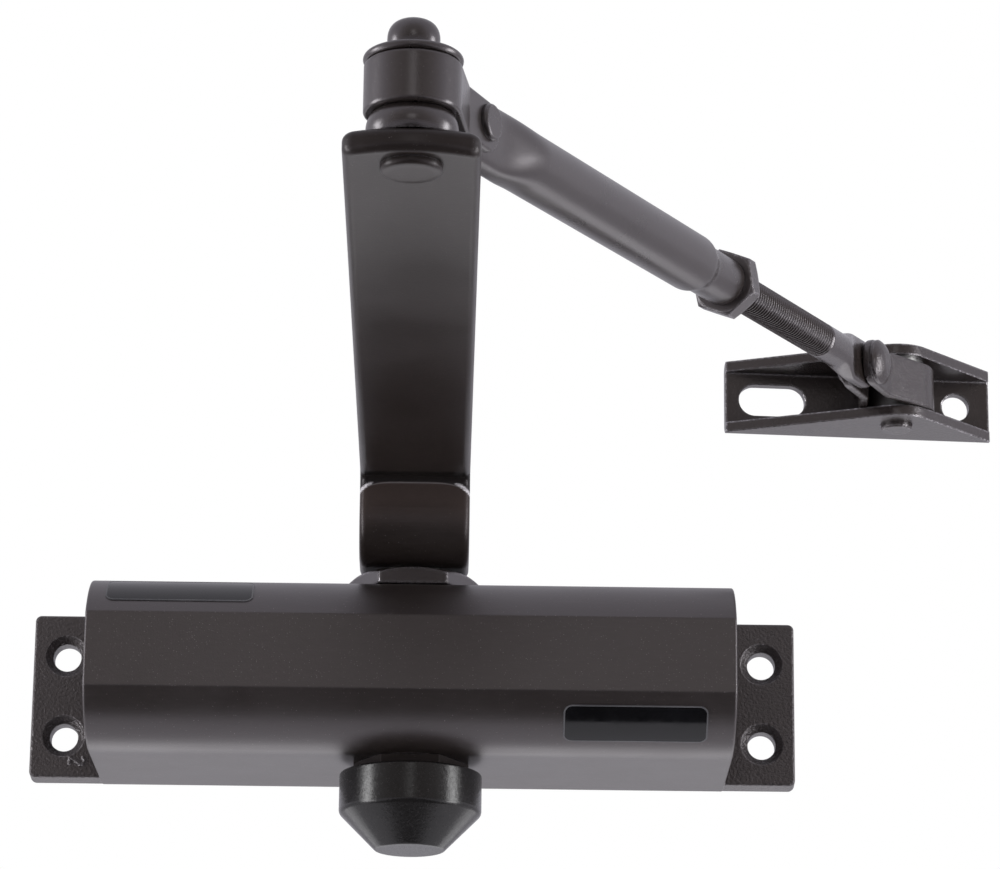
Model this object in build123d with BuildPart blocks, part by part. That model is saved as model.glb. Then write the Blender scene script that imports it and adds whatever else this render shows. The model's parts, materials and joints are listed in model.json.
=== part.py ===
from build123d import *
import os
from math import acos, asin, atan2, cos, hypot, pi, radians, sin, tan

# Surface-mounted hydraulic door closer with a regular (scissor) arm.
# Frame: +Z up along the pinion, mounting face in the plane Y = 0 with the housing
# towards -Y, X along the housing. The origin is the centre of the four mounting
# holes on the mounting face. Millimetres throughout.

os.makedirs("parts", exist_ok=True)

# ---- driving dimensions -------------------------------------------------------
# housing
HOLE_SPACING_X = 162.0
HOLE_SPACING_Z = 19.0
HOLE_RADIUS = 3.25
COUNTERSINK_RADIUS = 4.9
BODY_LENGTH = 144.5
BODY_HALF_HEIGHT = 19.5
BODY_DEPTH = 54.0
FRONT_HALF_HEIGHT = 8.4
CURVE_START_DEPTH = 35.0
EAR_OVERALL = 177.6
EAR_HALF_HEIGHT = 19.4
EAR_THICKNESS = 6.0
EAR_DRAFT = 2.0
EDGE = 0.5

# cylinder, piston and pinion
PINION_DEPTH = 26.0
BORE_RADIUS = 16.0
BORE_FIT = 0.05
PLUG_FIT = 0.02
TEETH = 10
MODULE = 1.3
PRESSURE_ANGLE = 25.0
ADDENDUM = 1.0
DEDENDUM = 1.45
BACKLASH = 0.2
GEAR_HALF_LENGTH = 9.0
JOURNAL_RADIUS = 7.5
JOURNAL_TOP = 23.6
SQUARE = 11.0
SQUARE_TOP = 28.4
PISTON_LEFT = -58.5
PISTON_RIGHT = 20.0
WINDOW_LEFT = -30.0
WINDOW_RIGHT = 9.0
WINDOW_BACK = 8.2
CAVITY_FLOOR = -38.0
CAVITY_RADIUS = 11.0
SPRING_SEAT = 13.0
SPRING_SEAT_RADIUS = 14.2
SPRING_MEAN_RADIUS = 11.6
SPRING_WIRE_RADIUS = 2.1
SPRING_TURNS = 5.5
LEFT_PLUG_FACE = -58.6
RIGHT_PLUG_FACE = 62.0
PLUG_RECESS = 0.75
VALVE_DEPTH = 47.5
VALVE_Z = 5.5
VALVE_RADIUS = 2.5
VALVE_BORE_END = 20.0

# gland nuts and cap
GLAND_RADIUS = 12.0
GLAND_FOOT = 16.3
UPPER_NUT_CORNERS = 30.8
LOWER_NUT_CORNERS = 26.0
NUT_TOP = 23.2
GLAND_CAVITY_RADIUS = 10.0
GLAND_CAVITY_TOP = 21.6
CAP_RADIUS = 16.1
CAP_RIM = 22.0
CAP_SHOULDER = 30.9
CAP_END = 39.3
CAP_END_RADIUS = 7.8

# main arm
ARM_YAW = 0.566
ARM_WIDTH = 24.9
ARM_THICKNESS = 4.5
ARM_ROOT = 24.4
ARM_UNDERSIDE = 42.6
ARM_RISER = 17.0
ARM_ROOT_BEND = 9.0
ARM_TOP_BEND = 4.0
ELBOW_REACH = 218.7
ARM_END = 8.4
ARM_END_RADIUS = 27.5
ARM_CORNER = 3.0
ARM_EDGE = 1.6
ELBOW_PIN_RADIUS = 3.5

# knuckles: one U-shaped strap stock at both ends of the forearm
STRAP_HEIGHT = 10.8
STRAP_EDGE = 0.6
ELBOW_STRAP_RISE = 4.3
STRAP_THICKNESS = 2.0
STRAP_RADIUS = 8.9
STRAP_CORNER = 4.8
STRAP_CLEARANCE = 0.2
SLEEVE_RADIUS = 6.5
ELBOW_STRAP_Z = 57.5
FOOT_STRAP_Z = 74.1
ELBOW_RIVET_REACH = 21.0
FOOT_RIVET_REACH = 23.5
RIVET_RADIUS = 2.75

# forearm, measured along its own axis from the elbow strap rivet
FOOT_PIN_X = 112.8
FOOT_PIN_Y = -13.4
TUBE_RADIUS = 6.1
TUBE_FLAT = 6.4
TUBE_FLAT_WIDTH = 13.2
NECK_RADIUS = 5.15
NECK_START = 113.0
TUBE_END = 127.2
LOCK_NUT_START = 127.3
LOCK_NUT_HEIGHT = 4.2
LOCK_NUT_ACROSS_FLATS = 13.0
LOCK_NUT_TURN = 24.0
ROD_RADIUS = 3.95
THREAD_PITCH = 1.25
THREAD_DEPTH = 0.6
THREAD_START = 84.0
THREAD_END = 185.0
EYE_FLAT = 3.6
EYE_RADIUS = 5.5

# foot bracket
BRACKET_YAW = 4.9
BRACKET_LEFT = -39.0
BRACKET_RIGHT = 24.5
BRACKET_HEIGHT = 17.5
BRACKET_BACK = 13.5
BRACKET_NOSE = 8.5
SHEET = 2.5
SLOT_X = -27.8
SLOT_LENGTH = 16.0
SLOT_WIDTH = 7.7
SLOT_DROP = 0.4
FOOT_HOLE_X = 16.5
FOOT_HOLE_RADIUS = 3.3
FOOT_PIN_RADIUS = 3.65

# ---- derived positions --------------------------------------------------------
UP = Vector(0, 0, 1)
PINION = Vector(0, -PINION_DEPTH, 0)
ARM_DIRECTION = Vector(sin(radians(ARM_YAW)), -cos(radians(ARM_YAW)), 0)
ELBOW = PINION + ARM_DIRECTION * ELBOW_REACH
FOOT = Vector(FOOT_PIN_X, FOOT_PIN_Y, 0)
FOREARM_FLAT = (FOOT - ELBOW).normalized()
FOREARM_SIDE = FOREARM_FLAT.cross(UP)
ELBOW_PIVOT = ELBOW + FOREARM_FLAT * ELBOW_RIVET_REACH + UP * ELBOW_STRAP_Z
FOOT_PIVOT = FOOT - FOREARM_FLAT * FOOT_RIVET_REACH + UP * FOOT_STRAP_Z
FOREARM_AXIS = (FOOT_PIVOT - ELBOW_PIVOT).normalized()
FOREARM_LENGTH = (FOOT_PIVOT - ELBOW_PIVOT).length
ARM_TOP = ARM_UNDERSIDE + ARM_THICKNESS
STRAP_BOTTOM = ELBOW_STRAP_Z - STRAP_HEIGHT / 2
STRAP_TOP = ELBOW_STRAP_Z + ELBOW_STRAP_RISE
BRACKET_BOTTOM = FOOT_STRAP_Z - STRAP_HEIGHT / 2 - STRAP_CLEARANCE - SHEET
BRACKET_TOP = BRACKET_BOTTOM + BRACKET_HEIGHT


def finish(part, name):
    """Label a finished piece and write it to its own STEP file."""
    part.label = name
    export_step(part, "parts/" + name + ".step")


def upright(centre):
    """Vertical plane through a vertical axis: local x is the radius, local y is height."""
    return Plane(origin=(centre.X, centre.Y, 0), x_dir=(1, 0, 0), z_dir=(0, -1, 0))


def turned(centre, points):
    """Body of revolution about the vertical axis at centre, from (radius, height) points."""
    with BuildPart() as body:
        with BuildSketch(upright(centre)):
            with BuildLine():
                Polyline(*points, close=True)
            make_face()
        revolve(axis=Axis((centre.X, centre.Y, 0), (0, 0, 1)))
    return body.part


# ---- housing ------------------------------------------------------------------
with BuildPart() as housing:
    with BuildSketch(Plane.YZ.offset(-BODY_LENGTH / 2)):
        with BuildLine():
            Polyline(
                (-CURVE_START_DEPTH, BODY_HALF_HEIGHT),
                (0, BODY_HALF_HEIGHT),
                (0, -BODY_HALF_HEIGHT),
                (-CURVE_START_DEPTH, -BODY_HALF_HEIGHT),
            )
            Line((-BODY_DEPTH, FRONT_HALF_HEIGHT), (-BODY_DEPTH, -FRONT_HALF_HEIGHT))
            for side in (1, -1):
                TangentArc(
                    (-CURVE_START_DEPTH, side * BODY_HALF_HEIGHT),
                    (-BODY_DEPTH, side * FRONT_HALF_HEIGHT),
                    tangent=(-1, 0),
                )
        make_face()
    extrude(amount=BODY_LENGTH)
    ends = housing.faces().filter_by(Axis.X)
    front = housing.faces().sort_by(Axis.Y)[0]
    fillet(ends.edges() + front.edges().filter_by(Axis.X), EDGE)
    # flat ears at both ends, with casting draft
    with BuildSketch(Plane.XZ):
        RectangleRounded(EAR_OVERALL, 2 * EAR_HALF_HEIGHT, 1.6)
    extrude(amount=EAR_THICKNESS, taper=EAR_DRAFT)
    ear_fronts = housing.faces().filter_by(Plane.XZ).filter_by_position(
        Axis.Y, -EAR_THICKNESS - 0.1, -EAR_THICKNESS + 0.1
    )
    ear_edges = ear_fronts.edges().filter_by(
        lambda edge: abs(edge.center().X) > BODY_LENGTH / 2 + 0.2
    )
    fillet(ear_edges, 0.6)
    with Locations(Plane.XZ.offset(EAR_THICKNESS)):
        with GridLocations(HOLE_SPACING_X, HOLE_SPACING_Z, 2, 2):
            CounterSinkHole(HOLE_RADIUS, COUNTERSINK_RADIUS)
    # cylinder bore from end to end, and the two gland bores
    with BuildSketch(Plane.YZ.offset(-BODY_LENGTH / 2)):
        with Locations((-PINION_DEPTH, 0)):
            Circle(BORE_RADIUS)
    extrude(amount=BODY_LENGTH, mode=Mode.SUBTRACT)
    with BuildSketch(Plane.XY.offset(-BODY_HALF_HEIGHT)):
        with Locations((0, -PINION_DEPTH)):
            Circle(GLAND_RADIUS)
    extrude(amount=2 * BODY_HALF_HEIGHT, mode=Mode.SUBTRACT)
    # speed valve bores in the left end, each with a port into the cylinder
    with BuildSketch(Plane.YZ.offset(-BODY_LENGTH / 2)):
        with Locations((-VALVE_DEPTH, VALVE_Z), (-VALVE_DEPTH, -VALVE_Z)):
            Circle(VALVE_RADIUS + BORE_FIT)
    extrude(amount=VALVE_BORE_END, mode=Mode.SUBTRACT)
    with BuildSketch(Plane.XZ.offset(VALVE_DEPTH)):
        port_x = -BODY_LENGTH / 2 + VALVE_BORE_END - 2
        with Locations((port_x, VALVE_Z), (port_x, -VALVE_Z)):
            Circle(1.25)
    extrude(amount=-9, mode=Mode.SUBTRACT)
    # raised casting mark, a figure 2 lying on its side on the left ear
    mark = Plane(origin=(-77.6, -EAR_THICKNESS, -15.3), x_dir=(0, 0, -1), z_dir=(0, -1, 0))
    with BuildSketch(mark):
        with BuildLine():
            bowl = CenterArc((0, 0.9), 0.8, 165, -205)
            Polyline(bowl @ 1, (-0.85, -1.7), (0.95, -1.7))
        trace(line_width=0.5)
    extrude(amount=0.35)
finish(housing.part, "housing")


# ---- labels -------------------------------------------------------------------
# Both labels lie on the curved faces. Angles run from the point where the flat side
# turns into the curve.
CURVE_DROP = BODY_HALF_HEIGHT - FRONT_HALF_HEIGHT
CURVE_RUN = BODY_DEPTH - CURVE_START_DEPTH
CURVE_RADIUS = (CURVE_RUN**2 + CURVE_DROP**2) / (2 * CURVE_DROP)
LABEL_THICKNESS = 0.25


def label_plate(left, right, side, start_angle, end_angle):
    """Thin plate with rounded corners on the upper (side 1) or lower (side -1) curve."""
    middle = (-CURVE_START_DEPTH, side * (BODY_HALF_HEIGHT - CURVE_RADIUS))
    start = side * (90 + start_angle)
    sweep_angle = side * (end_angle - start_angle)
    with BuildPart() as plate:
        with BuildSketch(Plane.YZ.offset(left)):
            with BuildLine():
                inner = CenterArc(middle, CURVE_RADIUS, start, sweep_angle)
                outer = CenterArc(middle, CURVE_RADIUS + LABEL_THICKNESS, start, sweep_angle)
                Line(inner @ 0, outer @ 0)
                Line(inner @ 1, outer @ 1)
            make_face()
        extrude(amount=right - left)
        corners = plate.edges().filter_by(
            lambda edge: edge.length < 2 * LABEL_THICKNESS
        )
        fillet(corners, 1.8)
    return plate.part


finish(label_plate(34.0, 66.0, -1, 25.0, 51.5), "front_label")
finish(label_plate(-68.2, -35.3, 1, 24.5, 51.0), "upper_label")


# ---- end plugs, their O-rings and the main spring ------------------------------
PLUG_GROOVE_RADIUS = 13.6
PLUG_RING_RADIUS = 14.8
PLUG_RING_WIRE = 1.1
PLUG_RING_SET = 4.0
PLUG_GROOVE_WIDTH = 3.0
PLUG_KEY = 12.0
BORE_PLANE = Plane(origin=PINION, x_dir=(1, 0, 0), z_dir=(0, -1, 0))
BORE_AXIS = Axis(PINION, (1, 0, 0))


def end_plug(face, side, boss_radius, boss_length):
    """Screw plug closing one end of the bore; side is +1 at the right end."""
    outside = side * (BODY_LENGTH / 2 - PLUG_RECESS)
    groove = face + side * PLUG_RING_SET
    half = PLUG_GROOVE_WIDTH / 2
    radius = BORE_RADIUS - PLUG_FIT
    with BuildPart() as plug:
        with BuildSketch(BORE_PLANE):
            with BuildLine():
                Polyline(
                    (face - side * boss_length, 0),
                    (face - side * boss_length, boss_radius),
                    (face, boss_radius),
                    (face, radius - 0.5),
                    (face + side * 0.5, radius),
                    (groove - side * half, radius),
                    (groove - side * half, PLUG_GROOVE_RADIUS),
                    (groove + side * half, PLUG_GROOVE_RADIUS),
                    (groove + side * half, radius),
                    (outside - side * 0.6, radius),
                    (outside, radius - 0.6),
                    (outside, 0),
                    close=True,
                )
            make_face()
        revolve(axis=BORE_AXIS)
        with BuildSketch(Plane.YZ.offset(outside)):
            with Locations((-PINION_DEPTH, 0)):
                RegularPolygon(PLUG_KEY / 2, 6, major_radius=False)
        extrude(amount=-side * 4.5, mode=Mode.SUBTRACT)
    return plug.part


finish(end_plug(LEFT_PLUG_FACE, -1, 9.0, 2.0), "left_end_plug")
finish(end_plug(RIGHT_PLUG_FACE, 1, 8.5, 4.0), "right_end_plug")

with BuildPart() as end_plug_o_rings:
    with BuildSketch(BORE_PLANE):
        with Locations(
            (LEFT_PLUG_FACE - PLUG_RING_SET, PLUG_RING_RADIUS),
            (RIGHT_PLUG_FACE + PLUG_RING_SET, PLUG_RING_RADIUS),
        ):
            Circle(PLUG_RING_WIRE)
    revolve(axis=BORE_AXIS)
finish(end_plug_o_rings.part, "end_plug_o_rings")

SPRING_HEIGHT = RIGHT_PLUG_FACE - SPRING_SEAT - 2 * SPRING_WIRE_RADIUS
with BuildPart() as main_spring:
    with BuildLine():
        coil = Helix(
            pitch=SPRING_HEIGHT / SPRING_TURNS,
            height=SPRING_HEIGHT,
            radius=SPRING_MEAN_RADIUS,
            center=(SPRING_SEAT + SPRING_WIRE_RADIUS, -PINION_DEPTH, 0),
            direction=(1, 0, 0),
        )
    with BuildSketch(Plane(origin=coil @ 0, z_dir=coil % 0)):
        Circle(SPRING_WIRE_RADIUS)
    sweep(is_frenet=True)
finish(main_spring.part, "main_spring")


# ---- rack piston with its check valve ------------------------------------------
PITCH_RADIUS = MODULE * TEETH / 2
RACK_PITCH = pi * MODULE
TOOTH_WIDTH = RACK_PITCH / 2 - BACKLASH / 2
RACK_ROOT = PITCH_RADIUS + DEDENDUM - 0.25
PISTON_RADIUS = BORE_RADIUS - BORE_FIT

with BuildPart() as rack_piston:
    with BuildSketch(Plane.YZ.offset(PISTON_LEFT)):
        with Locations((-PINION_DEPTH, 0)):
            Circle(PISTON_RADIUS)
    extrude(amount=PISTON_RIGHT - PISTON_LEFT)
    chamfer(rack_piston.edges().filter_by(GeomType.CIRCLE), 0.6)
    # window the pinion stands in, cut right through
    with BuildSketch(Plane.XY.offset(-BORE_RADIUS)):
        window_middle = -PINION_DEPTH + (WINDOW_BACK - RACK_ROOT) / 2
        with Locations(((WINDOW_LEFT + WINDOW_RIGHT) / 2, window_middle)):
            RectangleRounded(WINDOW_RIGHT - WINDOW_LEFT, WINDOW_BACK + RACK_ROOT, 2.0)
    extrude(amount=2 * BORE_RADIUS, mode=Mode.SUBTRACT)
    # rack teeth on the window's front wall; one tooth stands opposite the pinion axis
    slope = tan(radians(PRESSURE_ANGLE))
    tip_half = TOOTH_WIDTH / 2 - ADDENDUM * slope
    root_half = TOOTH_WIDTH / 2 + (RACK_ROOT - PITCH_RADIUS) * slope
    with BuildSketch(Plane.XY.offset(-GEAR_HALF_LENGTH + 0.2)):
        for index in range(-6, 2):
            middle = index * RACK_PITCH
            with BuildLine():
                Polyline(
                    (middle - root_half, -PINION_DEPTH - RACK_ROOT - 0.5),
                    (middle - root_half, -PINION_DEPTH - RACK_ROOT),
                    (middle - tip_half, -PINION_DEPTH - PITCH_RADIUS + ADDENDUM),
                    (middle + tip_half, -PINION_DEPTH - PITCH_RADIUS + ADDENDUM),
                    (middle + root_half, -PINION_DEPTH - RACK_ROOT),
                    (middle + root_half, -PINION_DEPTH - RACK_ROOT - 0.5),
                    close=True,
                )
            make_face()
    extrude(amount=2 * GEAR_HALF_LENGTH - 0.4)
    # oil cavity at the left, spring seat at the right, stepped check valve bore between
    for start, end, radius in (
        (PISTON_LEFT, CAVITY_FLOOR, CAVITY_RADIUS),
        (PISTON_RIGHT, SPRING_SEAT, SPRING_SEAT_RADIUS),
        (CAVITY_FLOOR, CAVITY_FLOOR + 3, 5.0),
        (CAVITY_FLOOR + 3, CAVITY_FLOOR + 7, 2.4),
        (CAVITY_FLOOR + 7, WINDOW_LEFT, 1.5),
    ):
        with BuildSketch(Plane.YZ.offset(start)):
            with Locations((-PINION_DEPTH, 0)):
                Circle(radius)
        extrude(amount=end - start, mode=Mode.SUBTRACT)
finish(rack_piston.part, "rack_piston")

with BuildPart() as check_valve_seat:
    with BuildSketch(Plane.YZ.offset(CAVITY_FLOOR)):
        with Locations((-PINION_DEPTH, 0)):
            Circle(4.97)
            Circle(1.5, mode=Mode.SUBTRACT)
    extrude(amount=2.95)
finish(check_valve_seat.part, "check_valve_seat")

with BuildPart() as check_valve_ball:
    with Locations((CAVITY_FLOOR + 4.95, -PINION_DEPTH, 0)):
        Sphere(1.9)
finish(check_valve_ball.part, "check_valve_ball")

# ---- pinion shaft --------------------------------------------------------------
BASE_RADIUS = PITCH_RADIUS * cos(radians(PRESSURE_ANGLE))
TIP_RADIUS = PITCH_RADIUS + ADDENDUM
ROOT_RADIUS = PITCH_RADIUS - DEDENDUM


def involute(angle):
    """Involute function of a pressure angle in radians."""
    return tan(angle) - angle


def half_angle(radius):
    """Half the angle a tooth fills at a radius, in radians."""
    at_pitch = TOOTH_WIDTH / 2 / PITCH_RADIUS + involute(radians(PRESSURE_ANGLE))
    return at_pitch - involute(acos(min(1.0, BASE_RADIUS / radius)))


def polar(radius, angle):
    """Point of a gear sketch at a radius and an angle in radians."""
    return (radius * cos(angle), radius * sin(angle))


ARM_PLAN = Plane(origin=PINION, x_dir=ARM_DIRECTION, z_dir=(0, 0, 1))
with BuildPart() as pinion_shaft:
    with BuildSketch(Plane(origin=PINION).offset(-GEAR_HALF_LENGTH)):
        Circle(ROOT_RADIUS)
        flank_radii = [BASE_RADIUS + step * (TIP_RADIUS - BASE_RADIUS) / 4 for step in range(5)]
        for tooth in range(TEETH):
            # a gap between two teeth faces the rack
            middle = -pi / 2 + (tooth + 0.5) * 2 * pi / TEETH
            right = [polar(r, middle - half_angle(r)) for r in flank_radii]
            left = [polar(r, middle + half_angle(r)) for r in flank_radii]
            foot_right = polar(ROOT_RADIUS - 0.3, middle - half_angle(BASE_RADIUS))
            foot_left = polar(ROOT_RADIUS - 0.3, middle + half_angle(BASE_RADIUS))
            with BuildLine():
                Line(foot_right, right[0])
                Spline(*right)
                Line(right[-1], left[-1])
                Spline(*left)
                Line(left[0], foot_left)
                Line(foot_left, foot_right)
            make_face()
    extrude(amount=2 * GEAR_HALF_LENGTH)
    for side in (1, -1):
        with BuildSketch(Plane(origin=PINION).offset(side * GEAR_HALF_LENGTH)):
            Circle(JOURNAL_RADIUS)
        extrude(amount=side * (JOURNAL_TOP - GEAR_HALF_LENGTH))
        with BuildSketch(ARM_PLAN.offset(side * JOURNAL_TOP)):
            RectangleRounded(SQUARE, SQUARE, 0.6)
            Circle(JOURNAL_RADIUS - 0.1, mode=Mode.INTERSECT)
        extrude(amount=side * (SQUARE_TOP - JOURNAL_TOP))
        with BuildSketch(ARM_PLAN.offset(side * SQUARE_TOP)):
            Circle(3.0)
        extrude(amount=-side * 13, mode=Mode.SUBTRACT)
finish(pinion_shaft.part, "pinion_shaft")


# ---- gland nuts, bushings, seals and cap ----------------------------------------
def hexagon_block(plane, across_corners, height, both_ends=False, rotation=0.0):
    """Hexagonal prism standing on a plane, its corners turned off at the far end or both."""
    flat = across_corners / 2 * cos(pi / 6)
    corner = across_corners / 2 + 0.1
    drop = (corner - flat) * tan(radians(30))
    near_end = [(flat, 0), (corner, drop)] if both_ends else [(corner, 0)]
    side = Plane(origin=plane.origin, x_dir=plane.x_dir, z_dir=-plane.y_dir)
    with BuildPart() as block:
        with BuildSketch(plane):
            RegularPolygon(across_corners / 2, 6, rotation=rotation)
        extrude(amount=height)
        with BuildSketch(side):
            with BuildLine():
                Polyline(
                    (0, 0),
                    *near_end,
                    (corner, height - drop),
                    (flat, height),
                    (0, height),
                    close=True,
                )
            make_face()
        revolve(axis=Axis(plane.origin, plane.z_dir), mode=Mode.INTERSECT)
    return block.part


def gland_nut(side, across_corners):
    """Hexagon-headed gland that screws into the housing and holds bushing and seal."""
    base = Plane(origin=PINION, x_dir=(1, 0, 0), z_dir=(0, 0, side))
    head = hexagon_block(
        base.offset(BODY_HALF_HEIGHT), across_corners, NUT_TOP - BODY_HALF_HEIGHT
    )
    with BuildPart() as nut:
        add(head)
        with BuildSketch(base.offset(GLAND_FOOT)):
            Circle(GLAND_RADIUS - PLUG_FIT)
        extrude(amount=BODY_HALF_HEIGHT - GLAND_FOOT)
        with BuildSketch(base.offset(GLAND_FOOT)):
            Circle(GLAND_CAVITY_RADIUS)
        extrude(amount=GLAND_CAVITY_TOP - GLAND_FOOT, mode=Mode.SUBTRACT)
        with BuildSketch(base.offset(GLAND_CAVITY_TOP)):
            Circle(JOURNAL_RADIUS + 0.2)
        extrude(amount=NUT_TOP - GLAND_CAVITY_TOP, mode=Mode.SUBTRACT)
    return nut.part


finish(gland_nut(1, UPPER_NUT_CORNERS), "upper_gland_nut")
finish(gland_nut(-1, LOWER_NUT_CORNERS), "lower_gland_nut")


def ring_pair(low, high, inner, outer):
    """Two equal rings about the pinion axis, one above and one below the cylinder."""
    with BuildPart() as rings:
        for side in (1, -1):
            with BuildSketch(Plane(origin=PINION).offset(side * low)):
                Circle(outer)
                Circle(inner, mode=Mode.SUBTRACT)
            extrude(amount=side * (high - low))
    return rings.part


SHAFT_HOLE = JOURNAL_RADIUS + BORE_FIT
RING_OUTSIDE = GLAND_CAVITY_RADIUS - PLUG_FIT
finish(ring_pair(GLAND_FOOT, 19.0, SHAFT_HOLE, RING_OUTSIDE), "pinion_bushings")
finish(ring_pair(19.1, GLAND_CAVITY_TOP - 0.1, SHAFT_HOLE, RING_OUTSIDE), "pinion_seals")

CAP_WALL = 1.2
CAP_INSIDE = 14.9
with BuildPart() as pinion_cap:
    with BuildSketch(upright(PINION)) as cap_profile:
        with BuildLine():
            Polyline(
                (0, -CAP_RIM),
                (CAP_RADIUS, -CAP_RIM),
                (CAP_RADIUS, -CAP_SHOULDER),
                (CAP_END_RADIUS, -CAP_END),
                (0, -CAP_END),
                close=True,
            )
        make_face()
        fillet(cap_profile.vertices().group_by(Axis.Y)[0].sort_by(Axis.X)[-1], 0.9)
        fillet(cap_profile.vertices().sort_by(Axis.X)[-2:].sort_by(Axis.Y)[0], 1.6)
    revolve(axis=Axis(PINION, (0, 0, 1)))
    fillet(pinion_cap.edges().filter_by(GeomType.CIRCLE).sort_by(Axis.Z)[-1], 0.5)
    with BuildSketch(upright(PINION)):
        with BuildLine():
            Polyline(
                (0, -CAP_RIM + 0.1),
                (CAP_INSIDE, -CAP_RIM + 0.1),
                (CAP_INSIDE, -CAP_SHOULDER + 0.3),
                (CAP_END_RADIUS - 0.3, -CAP_END + CAP_WALL + 0.8),
                (0, -CAP_END + CAP_WALL + 0.8),
                close=True,
            )
        make_face()
    revolve(axis=Axis(PINION, (0, 0, 1)), mode=Mode.SUBTRACT)
finish(pinion_cap.part, "pinion_cap")

# ---- speed valve screws ---------------------------------------------------------
VALVE_HEAD = -BODY_LENGTH / 2 + 0.4
VALVE_TIP = -56.0
VALVE_GROOVE = -66.0


def valve_screw(height):
    """Slotted needle valve with an O-ring groove, lying along X in the left end."""
    centre = Vector(0, -VALVE_DEPTH, height)
    with BuildPart() as screw:
        with BuildSketch(Plane(origin=centre, x_dir=(1, 0, 0), z_dir=(0, -1, 0))):
            with BuildLine():
                Polyline(
                    (VALVE_HEAD, 0),
                    (VALVE_HEAD, VALVE_RADIUS - 0.3),
                    (VALVE_HEAD + 0.3, VALVE_RADIUS),
                    (VALVE_GROOVE - 0.5, VALVE_RADIUS),
                    (VALVE_GROOVE - 0.5, 1.8),
                    (VALVE_GROOVE + 0.5, 1.8),
                    (VALVE_GROOVE + 0.5, VALVE_RADIUS),
                    (VALVE_TIP - 3, VALVE_RADIUS),
                    (VALVE_TIP, 0.5),
                    (VALVE_TIP, 0),
                    close=True,
                )
            make_face()
        revolve(axis=Axis(centre, (1, 0, 0)))
        with BuildSketch(Plane.YZ.offset(VALVE_HEAD)):
            with Locations((-VALVE_DEPTH, height)):
                Rectangle(2 * VALVE_RADIUS, 0.9)
        extrude(amount=1.4, mode=Mode.SUBTRACT)
    return screw.part


def valve_o_ring(height):
    """O-ring in the groove of a speed valve screw."""
    centre = Vector(0, -VALVE_DEPTH, height)
    with BuildPart() as ring:
        with BuildSketch(Plane(origin=centre, x_dir=(1, 0, 0), z_dir=(0, -1, 0))):
            with Locations((VALVE_GROOVE, 2.15)):
                Circle(0.32)
        revolve(axis=Axis(centre, (1, 0, 0)))
    return ring.part


for valve, height in (("closing", VALVE_Z), ("latching", -VALVE_Z)):
    finish(valve_screw(height), valve + "_valve_screw")
    finish(valve_o_ring(height), valve + "_valve_o_ring")

# ---- main arm -------------------------------------------------------------------
ARM_ACROSS = ARM_DIRECTION.cross(UP)
ARM_SIDE = Plane(origin=PINION, x_dir=ARM_DIRECTION, z_dir=ARM_ACROSS)
ARM_ROOT_RADIUS = ARM_WIDTH / 2
ARM_TIP = ELBOW_REACH + ARM_END
ARM_OVERSIZE = 2.0

with BuildPart() as main_arm:
    # bar bent up in front of the pinion, extruded across its width
    root_middle = ARM_ROOT + ARM_THICKNESS / 2
    top_middle = ARM_UNDERSIDE + ARM_THICKNESS / 2
    with BuildSketch(ARM_SIDE):
        with BuildLine():
            FilletPolyline(
                (-ARM_ROOT_RADIUS - ARM_OVERSIZE, root_middle),
                (ARM_RISER, root_middle),
                (ARM_RISER, top_middle),
                (ARM_TIP + ARM_OVERSIZE, top_middle),
                radius=(ARM_ROOT_BEND, ARM_TOP_BEND),
            )
        trace(line_width=ARM_THICKNESS)
    extrude(amount=ARM_WIDTH / 2 + ARM_OVERSIZE, both=True)
    # plan outline: round at the pinion, slightly convex at the elbow
    with BuildSketch(ARM_PLAN) as arm_outline:
        with BuildLine():
            half = ARM_WIDTH / 2
            sagitta = ARM_END_RADIUS * (1 - cos(asin(half / ARM_END_RADIUS)))
            Line((0, half), (ARM_TIP - sagitta, half))
            ThreePointArc((ARM_TIP - sagitta, half), (ARM_TIP, 0), (ARM_TIP - sagitta, -half))
            Line((ARM_TIP - sagitta, -half), (0, -half))
            ThreePointArc((0, -half), (-half, 0), (0, half))
        make_face()
        fillet(arm_outline.vertices().sort_by(Axis.X)[-2:], ARM_CORNER)
    extrude(amount=ARM_TOP + 1, mode=Mode.INTERSECT)
    # rolled edges all round the bar, but not across its bends or up its corners
    crosswise = main_arm.edges().filter_by(Axis(PINION, ARM_ACROSS))
    posts = main_arm.edges().filter_by(Axis.Z).filter_by(
        lambda edge: edge.length < ARM_THICKNESS + 0.2
    )
    fillet(main_arm.edges() - crosswise - posts, ARM_EDGE)
    with BuildSketch(ARM_PLAN.offset(ARM_ROOT - 1)):
        Rectangle(SQUARE + 0.1, SQUARE + 0.1)
    extrude(amount=ARM_THICKNESS + 2, mode=Mode.SUBTRACT)
    with BuildSketch(ARM_PLAN.offset(ARM_UNDERSIDE - 1)):
        with Locations((ELBOW_REACH, 0)):
            Circle(ELBOW_PIN_RADIUS + PLUG_FIT)
    extrude(amount=ARM_THICKNESS + 2, mode=Mode.SUBTRACT)
finish(main_arm.part, "main_arm")

ARM_ROOT_TOP = ARM_ROOT + ARM_THICKNESS
WASHER_TOP = ARM_ROOT_TOP + 1.2
finish(
    turned(PINION, [(3.2, ARM_ROOT_TOP), (8.0, ARM_ROOT_TOP), (8.0, WASHER_TOP), (3.2, WASHER_TOP)]),
    "arm_washer",
)

arm_screw_head = hexagon_block(ARM_PLAN.offset(WASHER_TOP), 11.5, 4.2)
with BuildPart() as arm_screw:
    add(arm_screw_head)
    with BuildSketch(ARM_PLAN.offset(WASHER_TOP - 13)):
        Circle(2.9)
    extrude(amount=13)
finish(arm_screw.part, "arm_screw")

# ---- elbow ----------------------------------------------------------------------
CAP_WASHER_BOTTOM = STRAP_TOP + 0.1
CAP_WASHER_TOP = CAP_WASHER_BOTTOM + 1.6
PIN_TOP = 70.4

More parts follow.
